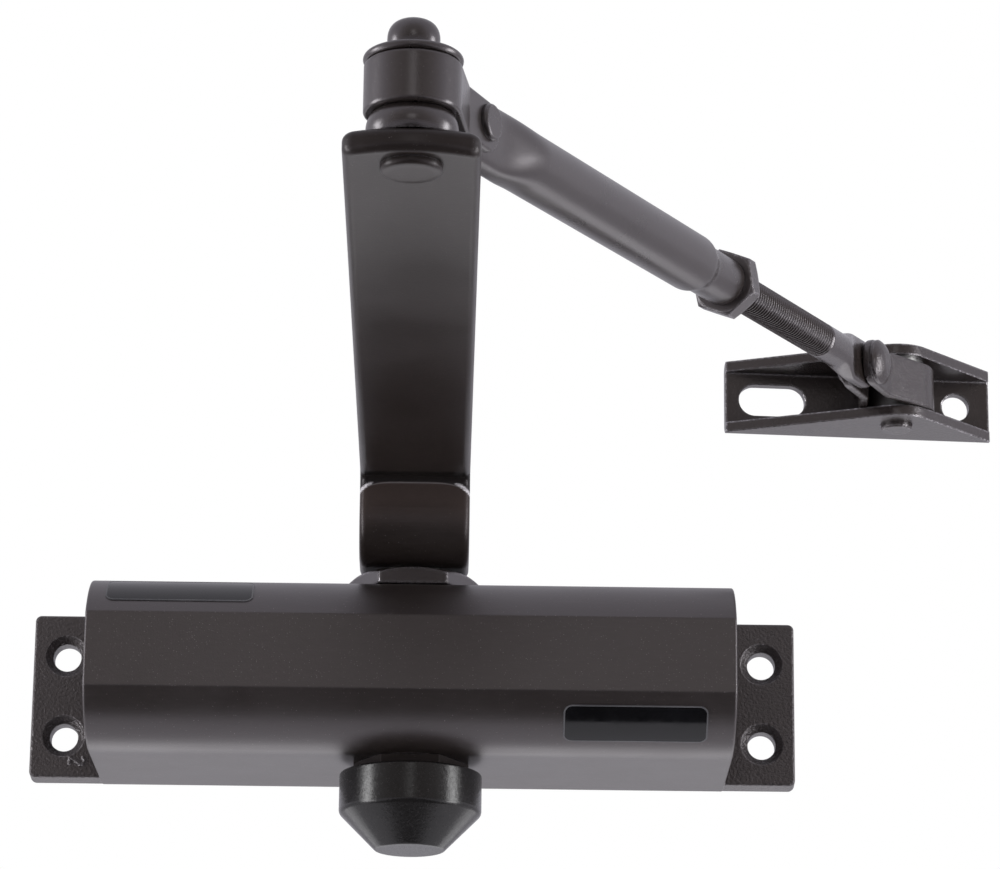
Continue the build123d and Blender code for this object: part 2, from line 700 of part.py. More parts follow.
with BuildPart() as elbow_pin:
    with BuildSketch(upright(ELBOW)):
        with BuildLine():
            Polyline(
                (4.0, ARM_UNDERSIDE - 1.5),
                (0, ARM_UNDERSIDE - 1.5),
                (0, PIN_TOP),
                (1.4, PIN_TOP),
            )
            ThreePointArc((1.4, PIN_TOP), (4.0, PIN_TOP - 1.4), (4.8, PIN_TOP - 3.9))
            Polyline(
                (4.8, PIN_TOP - 3.9),
                (4.55, CAP_WASHER_TOP),
                (ELBOW_PIN_RADIUS, CAP_WASHER_TOP),
                (ELBOW_PIN_RADIUS, ARM_UNDERSIDE),
                (5.7, ARM_UNDERSIDE),
            )
            ThreePointArc(
                (5.7, ARM_UNDERSIDE), (5.2, ARM_UNDERSIDE - 1.0), (4.0, ARM_UNDERSIDE - 1.5)
            )
        make_face()
    revolve(axis=Axis(ELBOW, (0, 0, 1)))
finish(elbow_pin.part, "elbow_pin")

with BuildPart() as elbow_bush:
    with BuildSketch(upright(ELBOW)):
        with BuildLine():
            flange_top = STRAP_BOTTOM - 0.1
            Polyline(
                (7.9, ARM_TOP),
                (ELBOW_PIN_RADIUS + 0.02, ARM_TOP),
                (ELBOW_PIN_RADIUS + 0.02, CAP_WASHER_BOTTOM),
                (SLEEVE_RADIUS, CAP_WASHER_BOTTOM),
                (SLEEVE_RADIUS, flange_top),
                (7.4, flange_top),
            )
            ThreePointArc((7.4, flange_top), (8.35, ARM_TOP + 1.5), (7.9, ARM_TOP))
        make_face()
    revolve(axis=Axis(ELBOW, (0, 0, 1)))
finish(elbow_bush.part, "elbow_bush")

with BuildPart() as elbow_cap_washer:
    with BuildSketch(Plane(origin=ELBOW).offset(CAP_WASHER_BOTTOM)):
        Circle(9.1)
        Circle(ELBOW_PIN_RADIUS + 0.02, mode=Mode.SUBTRACT)
    extrude(amount=CAP_WASHER_TOP - CAP_WASHER_BOTTOM)
    fillet(elbow_cap_washer.edges().sort_by(SortBy.LENGTH)[-2:], 0.7)
finish(elbow_cap_washer.part, "elbow_cap_washer")


# ---- knuckle straps and their rivets ---------------------------------------------
def knuckle_strap(centre, direction, gap, reach, above):
    """U-shaped strap: a loop round a vertical sleeve and two ears that clamp a flat
    end between them. The ears reach past the rivet by their corner radius, and the
    strap stands above the rivet's centre by the height given."""
    plan = Plane(origin=centre, x_dir=direction, z_dir=(0, 0, 1))
    across = direction.cross(UP)
    ear = gap / 2 + STRAP_THICKNESS
    shoulder = 0.6 * reach
    tip = reach + STRAP_CORNER
    tangent = atan2(ear, shoulder) + acos(STRAP_RADIUS / hypot(ear, shoulder))
    touch_x = STRAP_RADIUS * cos(tangent)
    touch_y = STRAP_RADIUS * sin(tangent)
    with BuildPart() as strap:
        with BuildSketch(plan.offset(-STRAP_HEIGHT / 2)):
            with BuildLine():
                Polyline((touch_x, touch_y), (shoulder, ear), (tip, ear))
                Line((tip, ear), (tip, -ear))
                Polyline((tip, -ear), (shoulder, -ear), (touch_x, -touch_y))
                ThreePointArc((touch_x, touch_y), (-STRAP_RADIUS, 0), (touch_x, -touch_y))
            make_face()
            offset(amount=-STRAP_THICKNESS, mode=Mode.SUBTRACT)
            with Locations((tip, 0)):
                Rectangle(2 * STRAP_THICKNESS + 1, gap, mode=Mode.SUBTRACT)
            Circle(SLEEVE_RADIUS + 0.06, mode=Mode.SUBTRACT)
        extrude(amount=STRAP_HEIGHT / 2 + above)
        ear_corners = strap.edges().filter_by(Axis((0, 0, 0), across))
        fillet(ear_corners.sort_by(Axis(centre, direction))[-4:], STRAP_CORNER)
        with BuildSketch(Plane(origin=plan.origin, x_dir=direction, z_dir=across)):
            with Locations((reach, 0)):
                Circle(RIVET_RADIUS + 0.02)
        extrude(amount=STRAP_RADIUS + 1, both=True, mode=Mode.SUBTRACT)
        fillet(strap.faces().sort_by(Axis.Z)[-1].outer_wire().edges(), STRAP_EDGE)
        fillet(strap.faces().sort_by(Axis.Z)[0].outer_wire().edges(), STRAP_EDGE)
    return strap.part


def strap_rivet(pivot, gap, near_head, far_head):
    """Rivet across a strap. Each head is (radius, height, flat radius on top); the
    near head is on the side that faces away from the door when the arm is folded."""
    grip = gap / 2 + STRAP_THICKNESS
    plane = Plane(origin=pivot, x_dir=FOREARM_SIDE, z_dir=FOREARM_SIDE.cross(UP))
    with BuildPart() as rivet:
        with BuildSketch(plane):
            Rectangle(2 * grip, RIVET_RADIUS, align=(Align.CENTER, Align.MIN))
            for side, (radius, height, flat) in ((1, near_head), (-1, far_head)):
                with BuildLine():
                    Polyline(
                        (side * (grip + height), flat),
                        (side * (grip + height), 0),
                        (side * grip, 0),
                        (side * grip, radius),
                        (side * (grip + 0.3 * height), radius),
                    )
                    ThreePointArc(
                        (side * (grip + 0.3 * height), radius),
                        (side * (grip + 0.8 * height), flat + 0.62 * (radius - flat)),
                        (side * (grip + height), flat),
                    )
                make_face()
        revolve(axis=Axis(pivot, FOREARM_SIDE))
    return rivet.part


ELBOW_GAP = TUBE_FLAT + 0.2
FOOT_GAP = EYE_FLAT + 0.2
ELBOW_CENTRE = ELBOW + UP * ELBOW_STRAP_Z
FOOT_CENTRE = FOOT + UP * FOOT_STRAP_Z
finish(
    knuckle_strap(ELBOW_CENTRE, FOREARM_FLAT, ELBOW_GAP, ELBOW_RIVET_REACH, ELBOW_STRAP_RISE),
    "elbow_strap",
)
finish(
    knuckle_strap(FOOT_CENTRE, -FOREARM_FLAT, FOOT_GAP, FOOT_RIVET_REACH, STRAP_HEIGHT / 2),
    "foot_strap",
)
FLAT_HEAD = (3.5, 1.2, 3.0)
DOME_HEAD = (5.2, 2.7, 1.0)
LOW_HEAD = (4.2, 1.2, 2.6)
finish(strap_rivet(ELBOW_PIVOT, ELBOW_GAP, FLAT_HEAD, LOW_HEAD), "elbow_strap_rivet")
finish(strap_rivet(FOOT_PIVOT, FOOT_GAP, DOME_HEAD, LOW_HEAD), "foot_strap_rivet")

# ---- forearm ---------------------------------------------------------------------
FOREARM_PROFILE = Plane(origin=ELBOW_PIVOT, x_dir=FOREARM_AXIS, z_dir=FOREARM_SIDE)
FOREARM_LINE = Axis(ELBOW_PIVOT, FOREARM_AXIS)


def forearm_section(distance):
    """Plane across the forearm: local x is its side, local y its height."""
    origin = ELBOW_PIVOT + FOREARM_AXIS * distance
    return Plane(origin=origin, x_dir=FOREARM_SIDE, z_dir=FOREARM_AXIS)


with BuildPart() as forearm_tube:
    # end flattened round the rivet
    with BuildSketch(forearm_section(-TUBE_FLAT_WIDTH / 2)):
        SlotOverall(TUBE_FLAT_WIDTH, TUBE_FLAT, rotation=90)
    extrude(amount=TUBE_FLAT_WIDTH / 2 + 11)
    with BuildSketch(FOREARM_PROFILE):
        Circle(TUBE_FLAT_WIDTH / 2)
        Rectangle(30, TUBE_FLAT_WIDTH, align=(Align.MIN, Align.CENTER))
    extrude(amount=TUBE_RADIUS, both=True, mode=Mode.INTERSECT)
    # blend from the flat to the round tube, then the shoulder down to the neck
    with BuildSketch(forearm_section(11)):
        SlotOverall(TUBE_FLAT_WIDTH, TUBE_FLAT, rotation=90)
    with BuildSketch(forearm_section(25)):
        SlotOverall(2 * TUBE_RADIUS + 0.01, 2 * TUBE_RADIUS, rotation=90)
    loft()
    with BuildSketch(FOREARM_PROFILE):
        with BuildLine():
            Polyline(
                (25, 0),
                (25, TUBE_RADIUS),
                (NECK_START - 4, TUBE_RADIUS),
                (NECK_START, NECK_RADIUS),
                (TUBE_END - 0.5, NECK_RADIUS),
                (TUBE_END, NECK_RADIUS - 0.5),
                (TUBE_END, 0),
                close=True,
            )
        make_face()
    revolve(axis=FOREARM_LINE)
    # hollow: wide in the tube, threaded size in the neck
    for start, end, radius in ((32, NECK_START, 4.6), (NECK_START, TUBE_END, ROD_RADIUS + BORE_FIT)):
        with BuildSketch(forearm_section(start)):
            Circle(radius)
        extrude(amount=end - start, mode=Mode.SUBTRACT)
    with BuildSketch(FOREARM_PROFILE):
        Circle(RIVET_RADIUS + BORE_FIT)
    extrude(amount=TUBE_RADIUS, both=True, mode=Mode.SUBTRACT)
finish(forearm_tube.part, "forearm_tube")

lock_nut_blank = hexagon_block(
    forearm_section(LOCK_NUT_START),
    LOCK_NUT_ACROSS_FLATS / cos(pi / 6),
    LOCK_NUT_HEIGHT,
    both_ends=True,
    rotation=LOCK_NUT_TURN,
)
with BuildPart() as lock_nut:
    add(lock_nut_blank)
    with BuildSketch(forearm_section(LOCK_NUT_START)):
        Circle(ROD_RADIUS + BORE_FIT)
    extrude(amount=LOCK_NUT_HEIGHT, mode=Mode.SUBTRACT)
finish(lock_nut.part, "lock_nut")

with BuildPart() as forearm_rod:
    # eye flattened round the rivet, blended into the round rod
    with BuildSketch(forearm_section(FOREARM_LENGTH - 8)):
        RectangleRounded(EYE_FLAT, 2 * EYE_RADIUS, 1.2)
    extrude(amount=8 + EYE_RADIUS)
    with BuildSketch(FOREARM_PROFILE):
        with Locations((FOREARM_LENGTH, 0)):
            Circle(EYE_RADIUS)
            Rectangle(30, 2 * EYE_RADIUS, align=(Align.MAX, Align.CENTER))
    extrude(amount=EYE_RADIUS, both=True, mode=Mode.INTERSECT)
    with BuildSketch(forearm_section(FOREARM_LENGTH - 8)):
        RectangleRounded(EYE_FLAT, 2 * EYE_RADIUS, 1.2)
    with BuildSketch(forearm_section(FOREARM_LENGTH - 17)):
        RectangleRounded(2 * ROD_RADIUS, 2 * ROD_RADIUS, ROD_RADIUS - 0.02)
    loft()
    # round rod with thread grooves at every pitch
    groove_count = int((THREAD_END - THREAD_START) / THREAD_PITCH)
    root = ROD_RADIUS - THREAD_DEPTH
    thread = [(THREAD_START, 0), (THREAD_START, root)]
    for turn in range(groove_count):
        crest = THREAD_START + (turn + 0.5) * THREAD_PITCH
        thread += [
            (crest - 0.1, ROD_RADIUS),
            (crest + 0.1, ROD_RADIUS),
            (crest + 0.5 * THREAD_PITCH, root),
        ]
    thread += [
        (THREAD_END + 0.6, ROD_RADIUS),
        (FOREARM_LENGTH - 17, ROD_RADIUS),
        (FOREARM_LENGTH - 17, 0),
    ]
    with BuildSketch(FOREARM_PROFILE):
        with BuildLine():
            Polyline(*thread, close=True)
        make_face()
    revolve(axis=FOREARM_LINE)
    with BuildSketch(FOREARM_PROFILE):
        with Locations((FOREARM_LENGTH, 0)):
            Circle(RIVET_RADIUS + BORE_FIT)
    extrude(amount=EYE_RADIUS, both=True, mode=Mode.SUBTRACT)
finish(forearm_rod.part, "forearm_rod")

# ---- foot bracket ----------------------------------------------------------------
yaw = radians(BRACKET_YAW)
BRACKET_DIRECTION = Vector(cos(yaw), sin(yaw), 0)
BRACKET_PLAN = Plane(origin=FOOT, x_dir=BRACKET_DIRECTION, z_dir=(0, 0, 1))
BRACKET_END = Plane(
    origin=FOOT + UP * (BRACKET_BOTTOM + BRACKET_HEIGHT / 2),
    x_dir=Vector(-sin(yaw), cos(yaw), 0),
    z_dir=BRACKET_DIRECTION,
)
BRACKET_FACE = Plane(origin=BRACKET_END.origin, x_dir=BRACKET_DIRECTION, z_dir=-BRACKET_END.x_dir)
BRACKET_DEPTH = BRACKET_BACK + BRACKET_NOSE

with BuildPart() as foot_bracket:
    # channel section along the bracket
    with BuildSketch(BRACKET_END.offset(BRACKET_LEFT)) as channel:
        with Locations((BRACKET_BACK, 0)):
            Rectangle(BRACKET_DEPTH, BRACKET_HEIGHT, align=(Align.MAX, Align.CENTER))
        fillet(channel.vertices().group_by(Axis.X)[-1], SHEET)
        with Locations((BRACKET_BACK - SHEET, 0)):
            Rectangle(
                BRACKET_DEPTH,
                BRACKET_HEIGHT - 2 * SHEET,
                align=(Align.MAX, Align.CENTER),
                mode=Mode.SUBTRACT,
            )
    extrude(amount=BRACKET_RIGHT - BRACKET_LEFT)
    # flanges run from shallow ends out to a rounded nose round the pin
    with BuildSketch(BRACKET_PLAN.offset(BRACKET_BOTTOM)):
        Circle(BRACKET_NOSE)
        with Locations(((BRACKET_LEFT + BRACKET_RIGHT) / 2, BRACKET_BACK)):
            Rectangle(BRACKET_RIGHT - BRACKET_LEFT, SHEET + 0.6, align=(Align.CENTER, Align.MAX))
        make_hull()
    extrude(amount=BRACKET_HEIGHT, mode=Mode.INTERSECT)
    with BuildSketch(BRACKET_FACE):
        with Locations((SLOT_X, -SLOT_DROP)):
            SlotOverall(SLOT_LENGTH, SLOT_WIDTH)
        with Locations((FOOT_HOLE_X, -SLOT_DROP)):
            Circle(FOOT_HOLE_RADIUS)
    extrude(amount=-BRACKET_BACK - 1, mode=Mode.SUBTRACT)
    with BuildSketch(BRACKET_PLAN.offset(BRACKET_BOTTOM)):
        Circle(FOOT_PIN_RADIUS + PLUG_FIT)
    extrude(amount=BRACKET_HEIGHT, mode=Mode.SUBTRACT)
finish(foot_bracket.part, "foot_bracket")

finish(
    turned(
        FOOT,
        [
            (0, BRACKET_BOTTOM - 1.3),
            (FOOT_PIN_RADIUS - 0.4, BRACKET_BOTTOM - 1.3),
            (FOOT_PIN_RADIUS, BRACKET_BOTTOM - 0.9),
            (FOOT_PIN_RADIUS, BRACKET_TOP + 0.9),
            (FOOT_PIN_RADIUS - 0.4, BRACKET_TOP + 1.3),
            (0, BRACKET_TOP + 1.3),
        ],
    ),
    "foot_pin",
)
finish(
    turned(
        FOOT,
        [
            (FOOT_PIN_RADIUS + PLUG_FIT, BRACKET_BOTTOM + SHEET),
            (SLEEVE_RADIUS, BRACKET_BOTTOM + SHEET),
            (SLEEVE_RADIUS, BRACKET_TOP - SHEET),
            (FOOT_PIN_RADIUS + PLUG_FIT, BRACKET_TOP - SHEET),
        ],
    ),
    "foot_bush",
)
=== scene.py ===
"""Looks for the door closer: materials, finer skins, labels, studio and camera."""

import json
import math

import bmesh
import bpy
from mathutils import Matrix, Vector


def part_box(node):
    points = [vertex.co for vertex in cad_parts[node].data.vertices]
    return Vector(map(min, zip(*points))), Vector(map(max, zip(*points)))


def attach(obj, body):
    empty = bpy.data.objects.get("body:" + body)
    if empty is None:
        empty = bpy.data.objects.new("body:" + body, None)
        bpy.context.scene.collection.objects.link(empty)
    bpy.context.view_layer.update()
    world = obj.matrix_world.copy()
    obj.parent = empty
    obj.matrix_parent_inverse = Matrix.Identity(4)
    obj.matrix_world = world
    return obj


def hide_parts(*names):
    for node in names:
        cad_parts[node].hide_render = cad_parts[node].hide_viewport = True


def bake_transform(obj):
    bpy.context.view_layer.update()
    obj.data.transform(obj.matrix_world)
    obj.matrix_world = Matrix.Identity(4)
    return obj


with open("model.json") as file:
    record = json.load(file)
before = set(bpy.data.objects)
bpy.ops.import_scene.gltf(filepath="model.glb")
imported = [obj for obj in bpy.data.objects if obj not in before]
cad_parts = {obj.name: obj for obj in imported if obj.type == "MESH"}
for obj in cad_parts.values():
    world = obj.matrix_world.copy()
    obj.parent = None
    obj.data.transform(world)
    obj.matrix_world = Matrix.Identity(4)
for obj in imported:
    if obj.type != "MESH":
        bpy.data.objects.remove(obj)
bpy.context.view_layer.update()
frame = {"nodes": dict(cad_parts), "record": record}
NODES = frame["nodes"]
JOINTS = {joint["name"]: joint for joint in frame["record"]["behaviour"]["joints"]}
MM = 0.001


# ---- node helpers ---------------------------------------------------------------
def new_material(name):
    """An empty node material with a Principled shader; returns (material, tree, shader)."""
    material = bpy.data.materials.new(name)
    material.use_nodes = True
    tree = material.node_tree
    return material, tree, tree.nodes["Principled BSDF"]


def add_node(tree, kind, settings=None, **inputs):
    """A node with its settings, and its inputs set to values or linked to sockets."""
    made = tree.nodes.new(kind)
    for key, value in (settings or {}).items():
        setattr(made, key, value)
    for key, value in inputs.items():
        wire(tree, made.inputs[key.replace("_", " ")], value)
    return made


def wire(tree, socket, value):
    """Links a socket to another node's output, or gives it a plain value."""
    if isinstance(value, bpy.types.NodeSocket):
        tree.links.new(value, socket)
    else:
        socket.default_value = value


def math_node(tree, operation, first, second=0.0):
    """Output of a Math node."""
    made = tree.nodes.new("ShaderNodeMath")
    made.operation = operation
    wire(tree, made.inputs[0], first)
    wire(tree, made.inputs[1], second)
    return made.outputs[0]


def place(tree, scale=(1, 1, 1), location=(0, 0, 0), rotation=(0, 0, 0)):
    """Object coordinates, in metres of the row frame, stretched and moved."""
    coordinates = add_node(tree, "ShaderNodeTexCoord").outputs["Object"]
    mapping = add_node(tree, "ShaderNodeMapping", Vector=coordinates)
    mapping.inputs["Scale"].default_value = scale
    mapping.inputs["Location"].default_value = location
    mapping.inputs["Rotation"].default_value = rotation
    return mapping.outputs["Vector"]


def noise(tree, vector, scale, detail=3.0, roughness=0.55):
    """Value of a noise texture."""
    made = add_node(tree, "ShaderNodeTexNoise", Vector=vector, Scale=scale, Detail=detail)
    made.inputs["Roughness"].default_value = roughness
    return made.outputs["Fac"]


def span(tree, value, low, high, to_low=0.0, to_high=1.0):
    """Maps low..high to to_low..to_high, clamped."""
    made = add_node(tree, "ShaderNodeMapRange", Value=value)
    for key, number in (
        ("From Min", low),
        ("From Max", high),
        ("To Min", to_low),
        ("To Max", to_high),
    ):
        made.inputs[key].default_value = number
    return made.outputs["Result"]


def blend_colours(tree, factor, first, second):
    """Mix of two colours, each a colour or a socket."""
    made = tree.nodes.new("ShaderNodeMix")
    made.data_type = "RGBA"
    wire(tree, made.inputs["Factor"], factor)
    for socket, colour in ((made.inputs[6], first), (made.inputs[7], second)):
        wire(tree, socket, colour if isinstance(colour, bpy.types.NodeSocket) else (*colour, 1))
    return made.outputs[2]


def bump(tree, height, distance, strength=1.0, normal=None):
    """Normal from a height, which may be stacked on another bump."""
    made = add_node(tree, "ShaderNodeBump", Height=height, Distance=distance, Strength=strength)
    if normal is not None:
        tree.links.new(normal, made.inputs["Normal"])
    return made.outputs["Normal"]


def worn_and_glinting_edges(tree, radius, amount):
    """(rounded normal, mask) of edges; the mask stands for wear and for painted glints, and is
    broken up by fine scratches.
    """
    rounded = add_node(tree, "ShaderNodeBevel", {"samples": 6}, Radius=radius).outputs["Normal"]
    surface = add_node(tree, "ShaderNodeNewGeometry").outputs["Normal"]
    facing = tree.nodes.new("ShaderNodeVectorMath")
    facing.operation = "DOT_PRODUCT"
    wire(tree, facing.inputs[0], rounded)
    wire(tree, facing.inputs[1], surface)
    edge = span(tree, facing.outputs["Value"], 0.88, 0.985, 1.0, 0.0)
    scratches = noise(tree, place(tree), 1300.0, 4.0, 0.7)
    broken = span(tree, scratches, 0.44, 0.58, 0.12 * amount, amount)
    return rounded, math_node(tree, "MULTIPLY", edge, broken)


# ---- materials ------------------------------------------------------------------
BODY_HALF = 0.0726
CLOUD_SCALE = 28.0
BRUSH_SCALE = 1500.0
PEEL_SCALE = 2600.0
PEEL_DEPTH = 0.00004
PIT_SCALE = 900.0
PEBBLE_SCALE = 1500.0
PEBBLE_HEIGHT = 13.0
FLECK_SCALE = 1800.0
FLECK_SIZE = 0.17
RUB_SCALE = 60.0
COAT_TINT = (1.0, 0.95, 0.99, 1)
BRONZE_DARK = (0.0175, 0.0132, 0.0115)
BRONZE_LIGHT = (0.0240, 0.0188, 0.0170)
FLECK = (0.22, 0.20, 0.20)
RUBBED = (0.050, 0.044, 0.043)
WORN_AND_GLINT = (0.55, 0.53, 0.55)
SCUFF_AND_GLINT = (0.75, 0.73, 0.75)
RISER_PAINTED_LIGHT = (0.046, 0.034, 0.030)
CREASE_PAINTED_SHADE = (0.004, 0.004, 0.004)
# the crease is an arch: its height falls from CREASE_TOP with a power of the distance
# from the arm's middle, and it lies on the riser's front face only
CREASE_TOP = 0.0413
CREASE_FALL = 0.85e7
CREASE_POWER = 5.0
CREASE_REACH = 0.013
CREASE_FRONT = -0.0500
CREASE_BACK = -0.0425


def painted_bend_light_and_scuffs(tree, colour):
    """Painted light on the arm's riser: a lighter tone painted on its face, painted shade
    above an arched crease under the bend, a painted highlight along the crease, and scuffs with
    painted glints at both corners."""
    x, y, z = add_node(tree, "ShaderNodeSeparateXYZ", Vector=place(tree)).outputs
    x = math_node(tree, "ABSOLUTE", x)
    fall = math_node(tree, "POWER", x, CREASE_POWER)
    arch = math_node(tree, "MULTIPLY", fall, -CREASE_FALL)
    above = math_node(tree, "SUBTRACT", math_node(tree, "SUBTRACT", z, arch), CREASE_TOP)
    away = math_node(tree, "ABSOLUTE", above)
    here = math_node(tree, "LESS_THAN", away, CREASE_REACH)
    for side, limit in (("GREATER_THAN", CREASE_FRONT), ("LESS_THAN", CREASE_BACK)):
        here = math_node(tree, "MULTIPLY", here, math_node(tree, side, y, limit))
    # painted light: a lighter brown tone on the riser's face below the crease
    riser_painted_light = math_node(tree, "MULTIPLY", here, span(tree, above, -0.011, -0.004, 0.0, 0.85))
    colour = blend_colours(tree, riser_painted_light, colour, RISER_PAINTED_LIGHT)
    # painted shade: nearly black just above the crease
    shade = math_node(tree, "MULTIPLY", here, span(tree, above, -0.0001, 0.0003, 0.0, 0.85))
    colour = blend_colours(tree, shade, colour, CREASE_PAINTED_SHADE)
    # painted highlight: a thin bright line along the crease
    crease_highlight = span(tree, away, 0.00005, 0.0002, 0.10, 0.0)
    # scuffs at both corners, pale and streaked, which also stand in for painted glints
    offset = math_node(tree, "ABSOLUTE", math_node(tree, "SUBTRACT", above, 0.0004))
    streaks = noise(tree, place(tree, scale=(0.5, 1, 1.6)), 2600.0, 4.0, 0.8)
    band = span(tree, offset, 0.0002, 0.0013, 1.0, 0.0)
    corner = math_node(tree, "MULTIPLY", band, span(tree, x, 0.0072, 0.0108))
    scuffed_and_glinting = span(tree, math_node(tree, "MULTIPLY", corner, streaks), 0.28, 0.52)
    bright = math_node(tree, "MULTIPLY", here, math_node(tree, "MAXIMUM", crease_highlight, scuffed_and_glinting))
    return blend_colours(tree, bright, colour, SCUFF_AND_GLINT)


def powder_coat(name, roughness, grain, flecks, edge, wear_and_glint, index, with_bend_light=False):
    """Satin bronze powder coat: cloudy tone, fine orange peel, metallic flecks, faint
    rubbing marks and edges rounded over a width of edge metres, lightened there for wear and as
    painted glints."""
    material, tree, shader = new_material(name)
    even = place(tree)
    cloud = noise(tree, even, CLOUD_SCALE, 4.0)
    brushed = noise(tree, place(tree, scale=(0.2, 1, 1)), BRUSH_SCALE, 3.0)
    mottle = math_node(tree, "ADD", cloud, math_node(tree, "MULTIPLY", brushed, 0.6))
    tone = blend_colours(tree, span(tree, mottle, 0.62, 0.98), BRONZE_DARK, BRONZE_LIGHT)
    rounded, worn_and_glinting = worn_and_glinting_edges(tree, edge, wear_and_glint)
    peel = noise(tree, even, PEEL_SCALE, 2.0)
    pits = noise(tree, even, PIT_SCALE, 3.0, 0.7)
    cells = add_node(tree, "ShaderNodeTexVoronoi", Vector=even, Scale=FLECK_SCALE)
    fleck = math_node(tree, "LESS_THAN", cells.outputs["Distance"], FLECK_SIZE)
    chosen = span(tree, cells.outputs["Color"], 0.68, 1.0, 0.0, flecks)
    shine = math_node(tree, "MULTIPLY", fleck, chosen)
    colour = blend_colours(tree, shine, tone, FLECK)
    # long faint rubbing marks from handling
    slanted = place(tree, scale=(1, 1, 26), rotation=(0, 0.5, 0.3))
    rubbed = noise(tree, slanted, RUB_SCALE, 5.0, 0.65)
    marks = span(tree, rubbed, 0.60, 0.74, 0.0, 0.25)
    colour = blend_colours(tree, marks, colour, RUBBED)
    # edges lighter and partly metallic: wear, and painted glints along the edges
    colour = blend_colours(tree, worn_and_glinting, colour, WORN_AND_GLINT)
    wire(tree, shader.inputs["Metallic"], worn_and_glinting)
    rough = span(tree, cloud, 0.3, 0.7, roughness - 0.04, roughness + 0.05)
    rough = math_node(tree, "SUBTRACT", rough, math_node(tree, "MULTIPLY", worn_and_glinting, 0.12))
    height = math_node(tree, "ADD", peel, math_node(tree, "MULTIPLY", pits, 0.8))
    # the cast ears are coarser than the milled body
    across = add_node(tree, "ShaderNodeSeparateXYZ", Vector=even).outputs["X"]
    ear = math_node(tree, "GREATER_THAN", math_node(tree, "ABSOLUTE", across), BODY_HALF)
    pebbles = math_node(tree, "MULTIPLY", noise(tree, even, PEBBLE_SCALE, 2.0), ear)
    pebbles = math_node(tree, "MULTIPLY", pebbles, PEBBLE_HEIGHT * flecks)
    height = math_node(tree, "ADD", height, pebbles)
    normal = bump(tree, height, PEEL_DEPTH * grain, 0.55, rounded)
    # the arm's riser gets painted light, painted shade and scuffs at its bend
    if with_bend_light:
        colour = painted_bend_light_and_scuffs(tree, colour)
    wire(tree, shader.inputs["Base Color"], colour)
    wire(tree, shader.inputs["Roughness"], rough)
    wire(tree, shader.inputs["Normal"], normal)
    shader.inputs["IOR"].default_value = index
    shader.inputs["Specular Tint"].default_value = COAT_TINT
    return material


def plastic(name, dark, light, roughness, grain_scale, grain_depth, speckle=0.0):
    """Moulded black plastic with a fine spark-eroded grain and a few pale specks."""
    material, tree, shader = new_material(name)
    even = place(tree)
    cloud = noise(tree, even, 60.0, 3.0)
    grain = noise(tree, even, grain_scale, 3.0, 0.6)
    colour = blend_colours(tree, span(tree, cloud, 0.35, 0.65), dark, light)
    if speckle:
        cells = add_node(tree, "ShaderNodeTexVoronoi", Vector=even, Scale=1100.0)
        dots = span(tree, cells.outputs["Distance"], 0.10, 0.16, speckle, 0.0)
        colour = blend_colours(tree, dots, colour, tuple(6 * part for part in light))
    rough = span(tree, grain, 0.3, 0.7, roughness - 0.05, roughness + 0.07)
    wire(tree, shader.inputs["Base Color"], colour)
    wire(tree, shader.inputs["Roughness"], rough)
    wire(tree, shader.inputs["Normal"], bump(tree, grain, grain_depth, 0.6))
    return material


def metal(name, colour, roughness, streak=(1, 1, 30)):
    """Machined or plated metal with fine tool lines and slight staining."""
    material, tree, shader = new_material(name)
    lines = noise(tree, place(tree, scale=streak), 900.0, 2.0)
    stain = noise(tree, place(tree), 45.0, 4.0)
    deep = tuple(0.72 * part for part in colour)
    tone = blend_colours(tree, span(tree, stain, 0.3, 0.75), colour, deep)
    rough = span(tree, lines, 0.25, 0.75, roughness - 0.08, roughness + 0.1)
    wire(tree, shader.inputs["Base Color"], tone)
    wire(tree, shader.inputs["Roughness"], rough)
    wire(tree, shader.inputs["Normal"], bump(tree, lines, 0.00002, 0.5))
    shader.inputs["Metallic"].default_value = 1.0
    return material


def rubber(name):
    """Moulded black rubber with a soft bloom."""
    material, tree, shader = new_material(name)
    bloom = noise(tree, place(tree), 300.0, 4.0)
    wire(tree, shader.inputs["Base Color"], blend_colours(tree, bloom, (0.012,) * 3, (0.03,) * 3))
    wire(tree, shader.inputs["Roughness"], span(tree, bloom, 0.3, 0.7, 0.55, 0.75))
    wire(tree, shader.inputs["Normal"], bump(tree, bloom, 0.00003, 0.4))
    return material


# name: roughness, grain, flecks, edge radius in metres, wear and painted glint at edges, index of
# refraction
COATS = {
    "bronze_paint_cast": (0.36, 1.0, 1.0, 0.0005, 0.55, 1.85),
    "bronze_paint_steel": (0.27, 0.8, 0.6, 0.0006, 0.7, 1.85),
    "bronze_paint_arm": (0.33, 0.8, 0.6, 0.0005, 0.6, 1.41),
    "bronze_paint_bracket": (0.27, 0.8, 0.35, 0.0008, 1.0, 1.8),
    "bronze_paint_nut": (0.33, 1.4, 0.8, 0.0010, 1.0, 2.0),
    "bronze_paint_shaded": (0.60, 1.0, 0.3, 0.0003, 0.1, 1.3),
    "black_rod_steel": (0.20, 0.6, 0.4, 0.0001, 0.3, 1.9),
    "blackened_steel": (0.42, 1.2, 0.5, 0.0004, 0.5, 1.5),
}
coats = {
    name: powder_coat(name, *numbers, with_bend_light=name == "bronze_paint_arm")
    for name, numbers in COATS.items()
}
steel_paint = coats["bronze_paint_steel"]
arm_paint = coats["bronze_paint_arm"]
rod_finish = coats["black_rod_steel"]

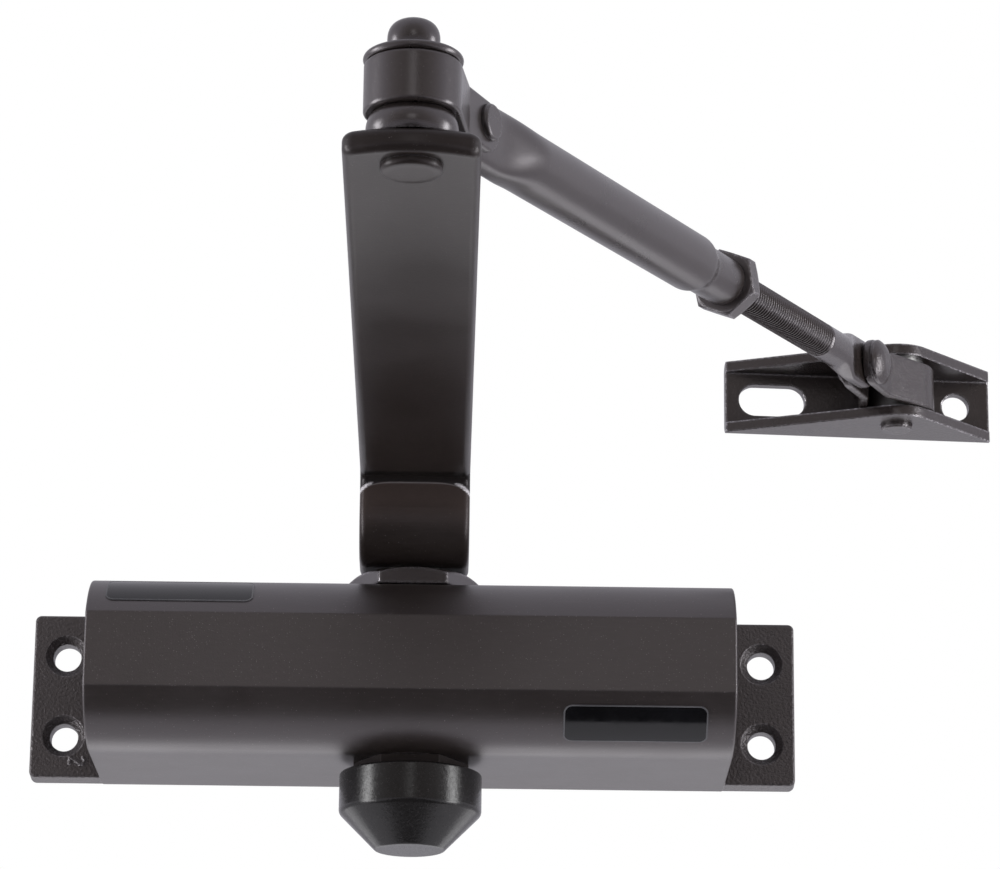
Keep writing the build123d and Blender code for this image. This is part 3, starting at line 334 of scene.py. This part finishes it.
# name: dark tone, light tone, roughness, grain scale, grain depth in metres, speckle
PLASTICS = {
    "cap_plastic": ((0.007, 0.0065, 0.0065), (0.011, 0.010, 0.010), 0.22, 1400.0, 0.00005, 0.4),
    "label_black": ((0.003, 0.003, 0.0035), (0.005, 0.005, 0.006), 0.12, 300.0, 0.000004),
    "label_rim_highlight": ((0.06, 0.06, 0.065), (0.10, 0.10, 0.105), 0.35, 900.0, 0.00001),
}
plastics = {name: plastic(name, *numbers) for name, numbers in PLASTICS.items()}
label_gloss = plastics["label_black"]
label_rim_highlight_paint = plastics["label_rim_highlight"]
machined = metal("bare_steel", (0.55, 0.55, 0.54), 0.34)
zinc = metal("zinc_steel", (0.44, 0.44, 0.45), 0.36, (30, 1, 1))
spring_finish = metal("spring_steel", (0.22, 0.22, 0.23), 0.38, (8, 8, 8))
bronze_metal = metal("bushing_brass", (0.72, 0.52, 0.24), 0.32)
seal_finish = rubber("seal_rubber")

BY_SLOT = {
    "bronze_paint_cast": coats["bronze_paint_cast"],
    "bronze_paint_steel": steel_paint,
    "black_rod_steel": rod_finish,
    "cap_plastic": plastics["cap_plastic"],
    "label_black": label_gloss,
    "bare_steel": machined,
    "zinc_steel": zinc,
    "spring_steel": spring_finish,
    "bushing_brass": bronze_metal,
    "seal_rubber": seal_finish,
}
for subpart in frame["record"]["subparts"]:
    piece = NODES[subpart["node"]]
    for slot in piece.material_slots:
        slot.link = "OBJECT"
        slot.material = BY_SLOT[subpart["material_slot"]]
for node, coat in (
    ("main_arm", "bronze_paint_arm"),
    ("upper_gland_nut", "bronze_paint_nut"),
    ("lock_nut", "bronze_paint_nut"),
    ("lower_gland_nut", "bronze_paint_shaded"),
    ("foot_bracket", "bronze_paint_bracket"),
    ("left_end_plug", "blackened_steel"),
    ("right_end_plug", "blackened_steel"),
):
    for slot in NODES[node].material_slots:
        slot.material = coats[coat]


# ---- mesh helpers -----------------------------------------------------------------
def centre_of(node):
    """Middle of a CAD node's box."""
    low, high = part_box(node)
    return (Vector(low) + Vector(high)) / 2


def mesh_piece(name, points, faces, materials, body):
    """A smooth mesh object in the row frame; it rides on a body, if one is named."""
    mesh = bpy.data.meshes.new(name)
    mesh.from_pydata(points, [], faces)
    mesh.validate()
    builder = bmesh.new()
    builder.from_mesh(mesh)
    bmesh.ops.remove_doubles(builder, verts=builder.verts, dist=1e-6)
    bmesh.ops.recalc_face_normals(builder, faces=builder.faces)
    builder.to_mesh(mesh)
    builder.free()
    mesh.shade_smooth()
    made = bpy.data.objects.new(name, mesh)
    bpy.context.scene.collection.objects.link(made)
    for material in materials:
        mesh.materials.append(material)
    if body is not None:
        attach(made, body)
    return made


def sharpen(piece, degrees):
    """Keeps edges steeper than an angle crisp on a smooth mesh."""
    builder = bmesh.new()
    builder.from_mesh(piece.data)
    limit = math.radians(degrees)
    for edge in builder.edges:
        if len(edge.link_faces) == 2 and edge.calc_face_angle(0.0) > limit:
            edge.smooth = False
    builder.to_mesh(piece.data)
    builder.free()


def ease(value):
    """Smooth step from 0 to 1."""
    value = min(1.0, max(0.0, value))
    return value * value * (3 - 2 * value)


def end_faces(rings, around):
    """The two faces that close the first and the last ring."""
    last = (rings - 1) * around
    return [tuple(range(around)), tuple(range(last, last + around))]


def ring_faces(rings, around):
    """Quads that join rows of points, each row a closed ring."""
    faces = []
    for row in range(rings - 1):
        for column in range(around):
            following = (column + 1) % around
            faces.append(
                (
                    row * around + column,
                    row * around + following,
                    (row + 1) * around + following,
                    (row + 1) * around + column,
                )
            )
    return faces


# ---- forearm: tube with a flattened end, and a rod with a real helical thread ----
TILT = JOINTS["elbow_tilt"]
FOREARM_START = Vector(TILT["pos_m"])
FOREARM_SIDE = Vector(TILT["axis"]).normalized()
FOREARM_AXIS = Vector(JOINTS["rod_length"]["axis"]).normalized()
FOREARM_UP = FOREARM_SIDE.cross(FOREARM_AXIS)
FOREARM_LENGTH = (Vector(JOINTS["foot_tilt"]["pos_m"]) - FOREARM_START).length


def forearm_point(distance, across, above):
    """Point at a distance along the forearm, then across it and above its axis."""
    along = FOREARM_START + FOREARM_AXIS * distance
    return along + FOREARM_SIDE * across + FOREARM_UP * above


def section(distance, half_thick, half_high, power, around):
    """Ring of a superellipse across the forearm."""
    ring = []
    for step in range(around):
        angle = 2 * math.pi * step / around
        across, above = math.cos(angle), math.sin(angle)
        reach = (abs(across) ** power + abs(above) ** power) ** (-1 / power)
        ring.append(
            forearm_point(distance, across * reach * half_thick, above * reach * half_high)
        )
    return ring


TUBE_AROUND = 64
TUBE_RADIUS = 6.1 * MM
FLAT_HALF_HIGH = 6.6 * MM
FLAT_HALF_THICK = 3.2 * MM
FLAT_END = 10 * MM
ROUND_START = 26 * MM
NECK_RADIUS = 5.15 * MM
SHOULDER_START = 108.5 * MM
SHOULDER_END = 113.5 * MM
TUBE_END = 127.2 * MM
TUBE_LIP = 0.5 * MM
TUBE_BORE_DEPTH = 8 * MM
ROD_RADIUS = 3.95 * MM
ROD_FIT = 0.05 * MM
FLAT_POWER = 3.4


def rounded_end(past, half_thick, half_high, power):
    """Sizes of a flat end that is round seen from the side and a little thinner at its tip."""
    rounding = math.sqrt(max(0.0, 1 - (past / half_high) ** 2))
    lip = half_thick * min(1.0, 0.72 + 0.6 * rounding)
    return lip, half_high * max(rounding, 0.02), power


def tube_sizes(distance):
    """(half thickness, half height, superellipse power) of the tube at a distance."""
    if distance < 0:
        return rounded_end(distance, FLAT_HALF_THICK, FLAT_HALF_HIGH, FLAT_POWER)
    flatness = 1 - ease((distance - FLAT_END) / (ROUND_START - FLAT_END))
    half_thick = TUBE_RADIUS + (FLAT_HALF_THICK - TUBE_RADIUS) * flatness
    half_high = TUBE_RADIUS + (FLAT_HALF_HIGH - TUBE_RADIUS) * flatness
    shrink = ease((distance - SHOULDER_START) / (SHOULDER_END - SHOULDER_START))
    narrowing = (TUBE_RADIUS - NECK_RADIUS) * shrink
    narrowing += max(0.0, distance - (TUBE_END - TUBE_LIP))
    power = 2 + (FLAT_POWER - 2) * flatness
    return half_thick - narrowing, half_high - narrowing, power


def tube_stations():
    """Distances along the tube, close together where its section changes."""
    stations = [-FLAT_HALF_HIGH * math.cos(math.radians(4 * step)) for step in range(1, 23)]
    stations += [step * 1.0 * MM for step in range(0, 29)]
    last = stations[-1]
    stations += [last + (SHOULDER_START - last) * step / 12 for step in range(1, 13)]
    stations += [SHOULDER_START + 0.5 * MM * step for step in range(1, 13)]
    stations += [TUBE_END - 6 * MM, TUBE_END - TUBE_LIP, TUBE_END - TUBE_LIP / 2, TUBE_END]
    return stations


tube_points = []
stations = tube_stations()
for distance in stations:
    tube_points += section(distance, *tube_sizes(distance), TUBE_AROUND)
bore = ROD_RADIUS + ROD_FIT
for distance in (TUBE_END, TUBE_END - TUBE_BORE_DEPTH):
    tube_points += section(distance, bore, bore, 2, TUBE_AROUND)
tube_rows = len(stations) + 2
tube_faces = ring_faces(tube_rows, TUBE_AROUND) + end_faces(tube_rows, TUBE_AROUND)
tube_skin = mesh_piece(
    "forearm_tube_skin", tube_points, tube_faces, [steel_paint], "forearm"
)
sharpen(tube_skin, 40)
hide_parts("forearm_tube")

ROD_AROUND = 48
THREAD_PITCH = 1.25 * MM
THREAD_DEPTH = 0.72 * MM
THREAD_START = 84 * MM
THREAD_END = 185 * MM
THREAD_FADE = 1.5 * MM
STEPS_PER_PITCH = 8
EYE_HALF_THICK = 1.8 * MM
EYE_RADIUS = 5.5 * MM
EYE_POWER = 4.0
EYE_BLEND_START = FOREARM_LENGTH - 17 * MM
EYE_BLEND_END = FOREARM_LENGTH - 7.5 * MM


def thread_ring(distance):
    """Ring of the threaded stretch: the groove's depth follows a helix."""
    fade = min(1.0, (THREAD_END - distance) / THREAD_FADE, (distance - THREAD_START) / THREAD_FADE)
    ring = []
    for step in range(ROD_AROUND):
        turn = step / ROD_AROUND
        phase = (distance / THREAD_PITCH - turn) % 1.0
        groove = 1 - abs(2 * phase - 1)
        depth = THREAD_DEPTH * max(0.0, fade) * max(0.0, min(1.0, 1.15 * groove - 0.1))
        radius = ROD_RADIUS - depth
        angle = 2 * math.pi * turn
        ring.append(forearm_point(distance, radius * math.cos(angle), radius * math.sin(angle)))
    return ring


def eye_sizes(distance):
    """(half thickness, half height, power) of the plain stretch and the eye."""
    past = distance - FOREARM_LENGTH
    if past > 0:
        return rounded_end(past, EYE_HALF_THICK, EYE_RADIUS, EYE_POWER)
    flatness = ease((distance - EYE_BLEND_START) / (EYE_BLEND_END - EYE_BLEND_START))
    half_thick = ROD_RADIUS + (EYE_HALF_THICK - ROD_RADIUS) * flatness
    half_high = ROD_RADIUS + (EYE_RADIUS - ROD_RADIUS) * flatness
    return half_thick, half_high, 2 + (EYE_POWER - 2) * flatness


rod_points = []
thread_rows = int((THREAD_END - THREAD_START) / THREAD_PITCH * STEPS_PER_PITCH)
for row in range(thread_rows + 1):
    rod_points += thread_ring(THREAD_START + (THREAD_END - THREAD_START) * row / thread_rows)
plain_length = FOREARM_LENGTH - THREAD_END
plain = [THREAD_END + 0.2 * MM + plain_length * step / 32 for step in range(32)]
plain += [
    FOREARM_LENGTH + EYE_RADIUS * math.sin(math.radians(4 * step)) for step in range(1, 23)
]
for distance in plain:
    rod_points += section(distance, *eye_sizes(distance), ROD_AROUND)
rod_rows = thread_rows + 1 + len(plain)
rod_faces = ring_faces(rod_rows, ROD_AROUND) + end_faces(rod_rows, ROD_AROUND)
rod_skin = mesh_piece(
    "forearm_rod_skin", rod_points, rod_faces, [rod_finish], "rod"
)
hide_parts("forearm_rod")


# ---- elbow: mushroom-headed pin and the rounded washer under it ------------------
def lathe(name, profile, centre, material, body, node):
    """Turns (radius, height) points round a vertical line; replaces a CAD node."""
    points = []
    for radius, height in profile:
        for step in range(TUBE_AROUND):
            angle = 2 * math.pi * step / TUBE_AROUND
            offset = Vector((radius * math.cos(angle), radius * math.sin(angle), 0))
            points.append(Vector((centre.x, centre.y, height)) + offset)
    faces = ring_faces(len(profile), TUBE_AROUND)
    made = mesh_piece(name, points, faces, [material], body)
    sharpen(made, 50)
    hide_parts(node)
    return made


def arc_points(radius, height, curve, start, end, steps=8):
    """Profile points on an arc round (radius, height), angles in degrees from outward."""
    turned = []
    for step in range(steps + 1):
        angle = math.radians(start + (end - start) * step / steps)
        turned.append((radius + curve * math.cos(angle), height + curve * math.sin(angle)))
    return turned


PIN_LOW, PIN_HIGH = (Vector(corner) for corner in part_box("elbow_pin"))
WASHER_LOW, WASHER_HIGH = (Vector(corner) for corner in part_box("elbow_cap_washer"))
ELBOW = centre_of("elbow_pin")
DOME_RADIUS = 4.8 * MM
DOME_NECK = 3.9 * MM
DOME_SWELL = 0.46
SHANK_RADIUS = 3.45 * MM
HEAD_RADIUS = 5.7 * MM
HEAD_ROUND = 0.9 * MM
HEAD_THICK = 1.5 * MM
WASHER_FIT = 0.1 * MM
WASHER_CROWN = 2.0 * MM

dome_foot = WASHER_HIGH.z
dome_rise = PIN_HIGH.z - dome_foot
pin_profile = [(0, PIN_LOW.z), (HEAD_RADIUS - 2.2 * MM, PIN_LOW.z)]
pin_profile += arc_points(HEAD_RADIUS - HEAD_ROUND, PIN_LOW.z + HEAD_ROUND, HEAD_ROUND, -75, 0)
pin_profile += [(HEAD_RADIUS, PIN_LOW.z + HEAD_THICK), (SHANK_RADIUS, PIN_LOW.z + HEAD_THICK)]
pin_profile += [(SHANK_RADIUS, dome_foot), (DOME_NECK, dome_foot)]
for step in range(1, 9):
    swell = math.sin(step / 8 * math.pi / 2)
    height = dome_foot + dome_rise * DOME_SWELL * step / 8
    pin_profile.append((DOME_NECK + (DOME_RADIUS - DOME_NECK) * swell, height))
for step in range(1, 17):
    angle = step / 16 * math.pi / 2
    reach = DOME_RADIUS * max(0.0, math.cos(angle)) ** 0.66
    share = DOME_SWELL + (1 - DOME_SWELL) * math.sin(angle) ** 0.85
    pin_profile.append((reach, dome_foot + dome_rise * share))

rim_radius = (WASHER_HIGH.z - WASHER_LOW.z) / 2
rim_centre = (WASHER_HIGH.x - WASHER_LOW.x) / 2 - rim_radius
washer_bore = SHANK_RADIUS + WASHER_FIT
washer_profile = [(washer_bore, WASHER_LOW.z), (rim_centre, WASHER_LOW.z)]
washer_profile += arc_points(rim_centre, WASHER_LOW.z + rim_radius, rim_radius, -80, 80, 14)
washer_profile += [
    (rim_centre + rim_radius - WASHER_CROWN, WASHER_HIGH.z),
    (washer_bore, WASHER_HIGH.z),
    (washer_bore, WASHER_LOW.z),
]
pin = lathe(
    "elbow_pin_skin", pin_profile, ELBOW, steel_paint, "arm", "elbow_pin"
)
pin.data.materials.append(arm_paint)
for polygon in pin.data.polygons:
    if polygon.center.z < PIN_LOW.z + 2 * HEAD_THICK:
        polygon.material_index = 1
lathe(
    "elbow_cap_washer_skin",
    washer_profile,
    ELBOW,
    steel_paint,
    "arm",
    "elbow_cap_washer",
)


# ---- main spring: a coil with its turns closer at the ends ------------------------
SPRING_TURNS = 5.5
WIRE_RADIUS = 2.1 * MM
WIRE_AROUND = 16
STEPS_PER_TURN = 36

spring_low, spring_high = (Vector(corner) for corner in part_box("main_spring"))
spring_middle = centre_of("main_spring")
spring_start = spring_low.x + WIRE_RADIUS
spring_length = spring_high.x - WIRE_RADIUS - spring_start
coil_radius = (spring_high.z - spring_low.z) / 2 - WIRE_RADIUS
travel = JOINTS["piston_slide"]["range_m"][1]


def coil_centre(share):
    """(angle, centre) of the wire at a share of the spring's length from the piston.
    The coils lie closer at the ends, so they are even once the spring is squeezed."""
    turned = (spring_length * share - travel * ease(share)) / (spring_length - travel)
    angle = 2 * math.pi * SPRING_TURNS * turned
    offset = Vector((0, coil_radius * math.cos(angle), coil_radius * math.sin(angle)))
    along = Vector((spring_start + spring_length * share, spring_middle.y, spring_middle.z))
    return angle, along + offset


coil_points = []
coil_rows = int(SPRING_TURNS * STEPS_PER_TURN) + 1
for row in range(coil_rows):
    angle, middle = coil_centre(row / (coil_rows - 1))
    outward = Vector((0, math.cos(angle), math.sin(angle)))
    for step in range(WIRE_AROUND):
        turn = 2 * math.pi * step / WIRE_AROUND
        point = middle + WIRE_RADIUS * (outward * math.cos(turn) + Vector((math.sin(turn), 0, 0)))
        coil_points.append(point)
coil_faces = ring_faces(coil_rows, WIRE_AROUND) + end_faces(coil_rows, WIRE_AROUND)
spring_skin = mesh_piece(
    "main_spring_skin", coil_points, coil_faces, [spring_finish], None
)
sharpen(spring_skin, 50)
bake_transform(spring_skin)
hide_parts("main_spring")


# ---- labels: blank glossy plates with a fine pale border painted as a rim highlight, wrapped on the curve -----
CURVE_START_DEPTH = 35.0 * MM
FRONT_HALF_HEIGHT = 8.4 * MM
LABEL_CORNER = 2.0 * MM
LABEL_LIFT = 0.25 * MM
# (inset, lift) of each row of the border in millimetres, from the outside in
BORDER_STEPS = ((0.0, 0.02), (0.0, 0.20), (0.08, 0.25), (0.28, 0.25), (0.34, 0.20))
PLATE_INSET = 0.28 * MM
PLATE_LIFT = 0.21 * MM
PLATE_ROWS = 24
PLATE_COLUMNS = 40
CORNER_STEPS = 8
SIDE_STEPS = 14


def rounded_outline(half_long, half_wide, corner):
    """Closed outline of a rounded rectangle, with points along its sides too."""
    arcs = []
    for quarter, (sign_x, sign_y) in enumerate(((1, 1), (-1, 1), (-1, -1), (1, -1))):
        middle = Vector((sign_x * (half_long - corner), sign_y * (half_wide - corner)))
        arc = []
        for step in range(CORNER_STEPS + 1):
            angle = (quarter + step / CORNER_STEPS) * math.pi / 2
            arc.append(middle + corner * Vector((math.cos(angle), math.sin(angle))))
        arcs.append(arc)
    outline = []
    for arc, following in zip(arcs, arcs[1:] + arcs[:1]):
        outline += arc
        start, end = arc[-1], following[0]
        outline += [start.lerp(end, step / SIDE_STEPS) for step in range(1, SIDE_STEPS)]
    return outline


def plate_points(half_long, half_wide, corner):
    """Rows of flat points that fill a rounded rectangle, from one side to the other."""
    points = []
    for row in range(PLATE_ROWS + 1):
        height = -half_wide * math.cos(math.pi * row / PLATE_ROWS)
        past = max(0.0, abs(height) - (half_wide - corner))
        reach = half_long - corner + math.sqrt(max(0.0, corner**2 - past**2))
        for column in range(PLATE_COLUMNS + 1):
            points.append(Vector((reach * (2 * column / PLATE_COLUMNS - 1), height)))
    return points


def plate_faces(first):
    """Quads between the plate's rows, whose points are numbered from first."""
    faces = []
    for row in range(PLATE_ROWS):
        for column in range(PLATE_COLUMNS):
            near = first + row * (PLATE_COLUMNS + 1) + column
            far = near + PLATE_COLUMNS + 1
            faces.append((near, near + 1, far + 1, far))
    return faces


def curve_of(side):
    """Centre and radius of the housing's curved face, worked out from its section."""
    low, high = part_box("housing")
    half_high = (high[2] - low[2]) / 2
    depth = -low[1]
    run = depth - CURVE_START_DEPTH
    drop = half_high - FRONT_HALF_HEIGHT
    radius = (run**2 + drop**2) / (2 * drop)
    return Vector((0, -CURVE_START_DEPTH, side * (half_high - radius))), radius


def label_plate(name, node, side):
    """Builds a label over its CAD node and hides the node."""
    low, high = (Vector(corner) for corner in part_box(node))
    centre, radius = curve_of(side)
    outer = radius + LABEL_LIFT
    inner_z, outer_z = (high.z, low.z) if side < 0 else (low.z, high.z)
    angles = [
        math.atan2(side * (z - centre.z), centre.y - y)
        for y, z in ((low.y, inner_z), (high.y, outer_z))
    ]
    middle_angle = sum(angles) / 2
    half_wide = abs(angles[1] - angles[0]) / 2 * outer
    half_long = (high.x - low.x) / 2
    middle_x = (high.x + low.x) / 2

    def wrap(point, lift):
        """Lays a flat point on the curved face, at a height above it."""
        angle = middle_angle + point.y / outer
        depth = (radius + lift) * math.cos(angle)
        height = (radius + lift) * math.sin(angle)
        return Vector((middle_x + point.x, centre.y - depth, centre.z + side * height))

    points = []
    for inset, lift in BORDER_STEPS:
        gap = inset * MM
        outline = rounded_outline(half_long - gap, half_wide - gap, LABEL_CORNER - gap)
        points += [wrap(point, lift * MM) for point in outline]
    border = ring_faces(len(BORDER_STEPS), len(outline))
    faces = border + plate_faces(len(points))
    plate = [half - PLATE_INSET for half in (half_long, half_wide, LABEL_CORNER)]
    points += [wrap(point, PLATE_LIFT) for point in plate_points(*plate)]
    made = mesh_piece(name, points, faces, [label_gloss, label_rim_highlight_paint], "closer_body")
    # the border rows take the pale colour, a painted rim highlight
    for polygon in made.data.polygons[: len(border)]:
        polygon.material_index = 1
    sharpen(made, 50)
    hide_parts(node)


label_plate("front_label_plate", "front_label", -1)
label_plate("upper_label_plate", "upper_label", 1)


# ---- studio: pale floor, room light, soft boxes, a dark flag under the lens ---------
def flat_square(name, centre, half_x, half_y, material):
    """A horizontal rectangle of the set, not part of the object."""
    mesh = bpy.data.meshes.new(name)
    corners = [(-half_x, -half_y), (half_x, -half_y), (half_x, half_y), (-half_x, half_y)]
    points = [(centre[0] + x, centre[1] + y, centre[2]) for x, y in corners]
    mesh.from_pydata(points, [], [(0, 1, 2, 3)])
    mesh.materials.append(material)
    made = bpy.data.objects.new(name, mesh)
    bpy.context.scene.collection.objects.link(made)
    return made


FLOOR_Z = -0.34
ROOM_BRIGHT = 0.70
ROOM_DARK = 0.23
floor_paint, _, floor_shader = new_material("floor_paper")
floor_shader.inputs["Base Color"].default_value = (0.86, 0.86, 0.87, 1)
floor_shader.inputs["Roughness"].default_value = 0.7
floor_shader.inputs["Specular IOR Level"].default_value = 0.0
flat_square("floor", (0, 0, FLOOR_Z), 6, 6, floor_paint)

flag_paint, _, flag_shader = new_material("flag_cloth")
flag_shader.inputs["Base Color"].default_value = (0.02, 0.02, 0.02, 1)
flag_shader.inputs["Roughness"].default_value = 1.0
flag = flat_square("flag", (0.0, -0.78, FLOOR_Z + 0.02), 0.34, 0.71, flag_paint)
# only reflections in the object see the flag
flag.visible_camera = False
flag.visible_shadow = False
flag.visible_diffuse = False

world = bpy.data.worlds.new("studio")
bpy.context.scene.world = world
world.use_nodes = True
sky = world.node_tree
seen = sky.nodes["Background"]
seen.inputs["Color"].default_value = (1, 1, 1, 1)
seen.inputs["Strength"].default_value = 1.0
direction = add_node(sky, "ShaderNodeTexCoord").outputs["Generated"]
toward_lens = sky.nodes.new("ShaderNodeVectorMath")
toward_lens.operation = "DOT_PRODUCT"
wire(sky, toward_lens.inputs[0], direction)
toward_lens.inputs[1].default_value = (0.0, -0.97, -0.24)
room = span(sky, toward_lens.outputs["Value"], 0.15, 0.85, ROOM_BRIGHT, ROOM_DARK)
warmth = span(sky, toward_lens.outputs["Value"], 0.15, 0.85)
tint = blend_colours(sky, warmth, (0.97, 0.95, 1.04), (1.0, 0.92, 0.87))
lighting = add_node(sky, "ShaderNodeBackground", Color=tint, Strength=room)
rays = add_node(sky, "ShaderNodeLightPath")
either = sky.nodes.new("ShaderNodeMixShader")
wire(sky, either.inputs[0], rays.outputs["Is Camera Ray"])
sky.links.new(lighting.outputs["Background"], either.inputs[1])
sky.links.new(seen.outputs["Background"], either.inputs[2])
sky.links.new(either.outputs["Shader"], sky.nodes["World Output"].inputs["Surface"])


def soft_box(name, location, toward, width, height, radiance):
    """A rectangular light at a place, aimed along a direction."""
    data = bpy.data.lights.new(name, "AREA")
    data.shape = "RECTANGLE"
    data.size = width
    data.size_y = height
    data.energy = radiance * math.pi * width * height
    light = bpy.data.objects.new(name, data)
    light.location = location
    light.rotation_euler = toward.to_track_quat("-Z", "Y").to_euler()
    light.visible_camera = False
    bpy.context.scene.collection.objects.link(light)


MIDDLE = Vector((0.01, -0.10, 0.0))
for name, side in (("soft_box_left", -1), ("soft_box_right", 1)):
    spot = MIDDLE + Vector((side * 0.60, -0.12, -0.05))
    soft_box(name, spot, MIDDLE - spot, 0.18, 0.50, 7.0)
spot = MIDDLE + Vector((0.0, -1.30, 0.38))
soft_box("front_strip", spot, MIDDLE - spot, 0.30, 0.30, 1.2)
soft_box("light_table", Vector((0.0, 0.50, -0.325)), Vector((0, 0, 1)), 1.1, 0.5, 1.0)

# ---- camera: below the object and looking up at it -------------------------------
CAMERA_PLACE = Vector((0.015868, -0.914420, -0.209511))
CAMERA_PITCH = 0.29324
CAMERA_YAW = 0.00391
CAMERA_ROLL = 0.01121
LENS = 144.0
forward = Vector(
    (
        math.sin(CAMERA_YAW) * math.cos(CAMERA_PITCH),
        math.cos(CAMERA_YAW) * math.cos(CAMERA_PITCH),
        math.sin(CAMERA_PITCH),
    )
)
level_right = Vector((math.cos(CAMERA_YAW), -math.sin(CAMERA_YAW), 0))
level_up = level_right.cross(forward)
right = level_right * math.cos(CAMERA_ROLL) + level_up * math.sin(CAMERA_ROLL)
up = level_up * math.cos(CAMERA_ROLL) - level_right * math.sin(CAMERA_ROLL)
camera_data = bpy.data.cameras.new("camera")
camera_data.sensor_width = 36.0
camera_data.lens = LENS
camera_data.clip_start = 0.01
camera_data.clip_end = 50.0
camera = bpy.data.objects.new("camera", camera_data)
turn = Matrix((right, up, -forward)).transposed()
camera.matrix_world = Matrix.Translation(CAMERA_PLACE) @ turn.to_4x4()
bpy.context.scene.collection.objects.link(camera)
bpy.context.scene.camera = camera
bpy.context.scene.view_settings.view_transform = "Standard"
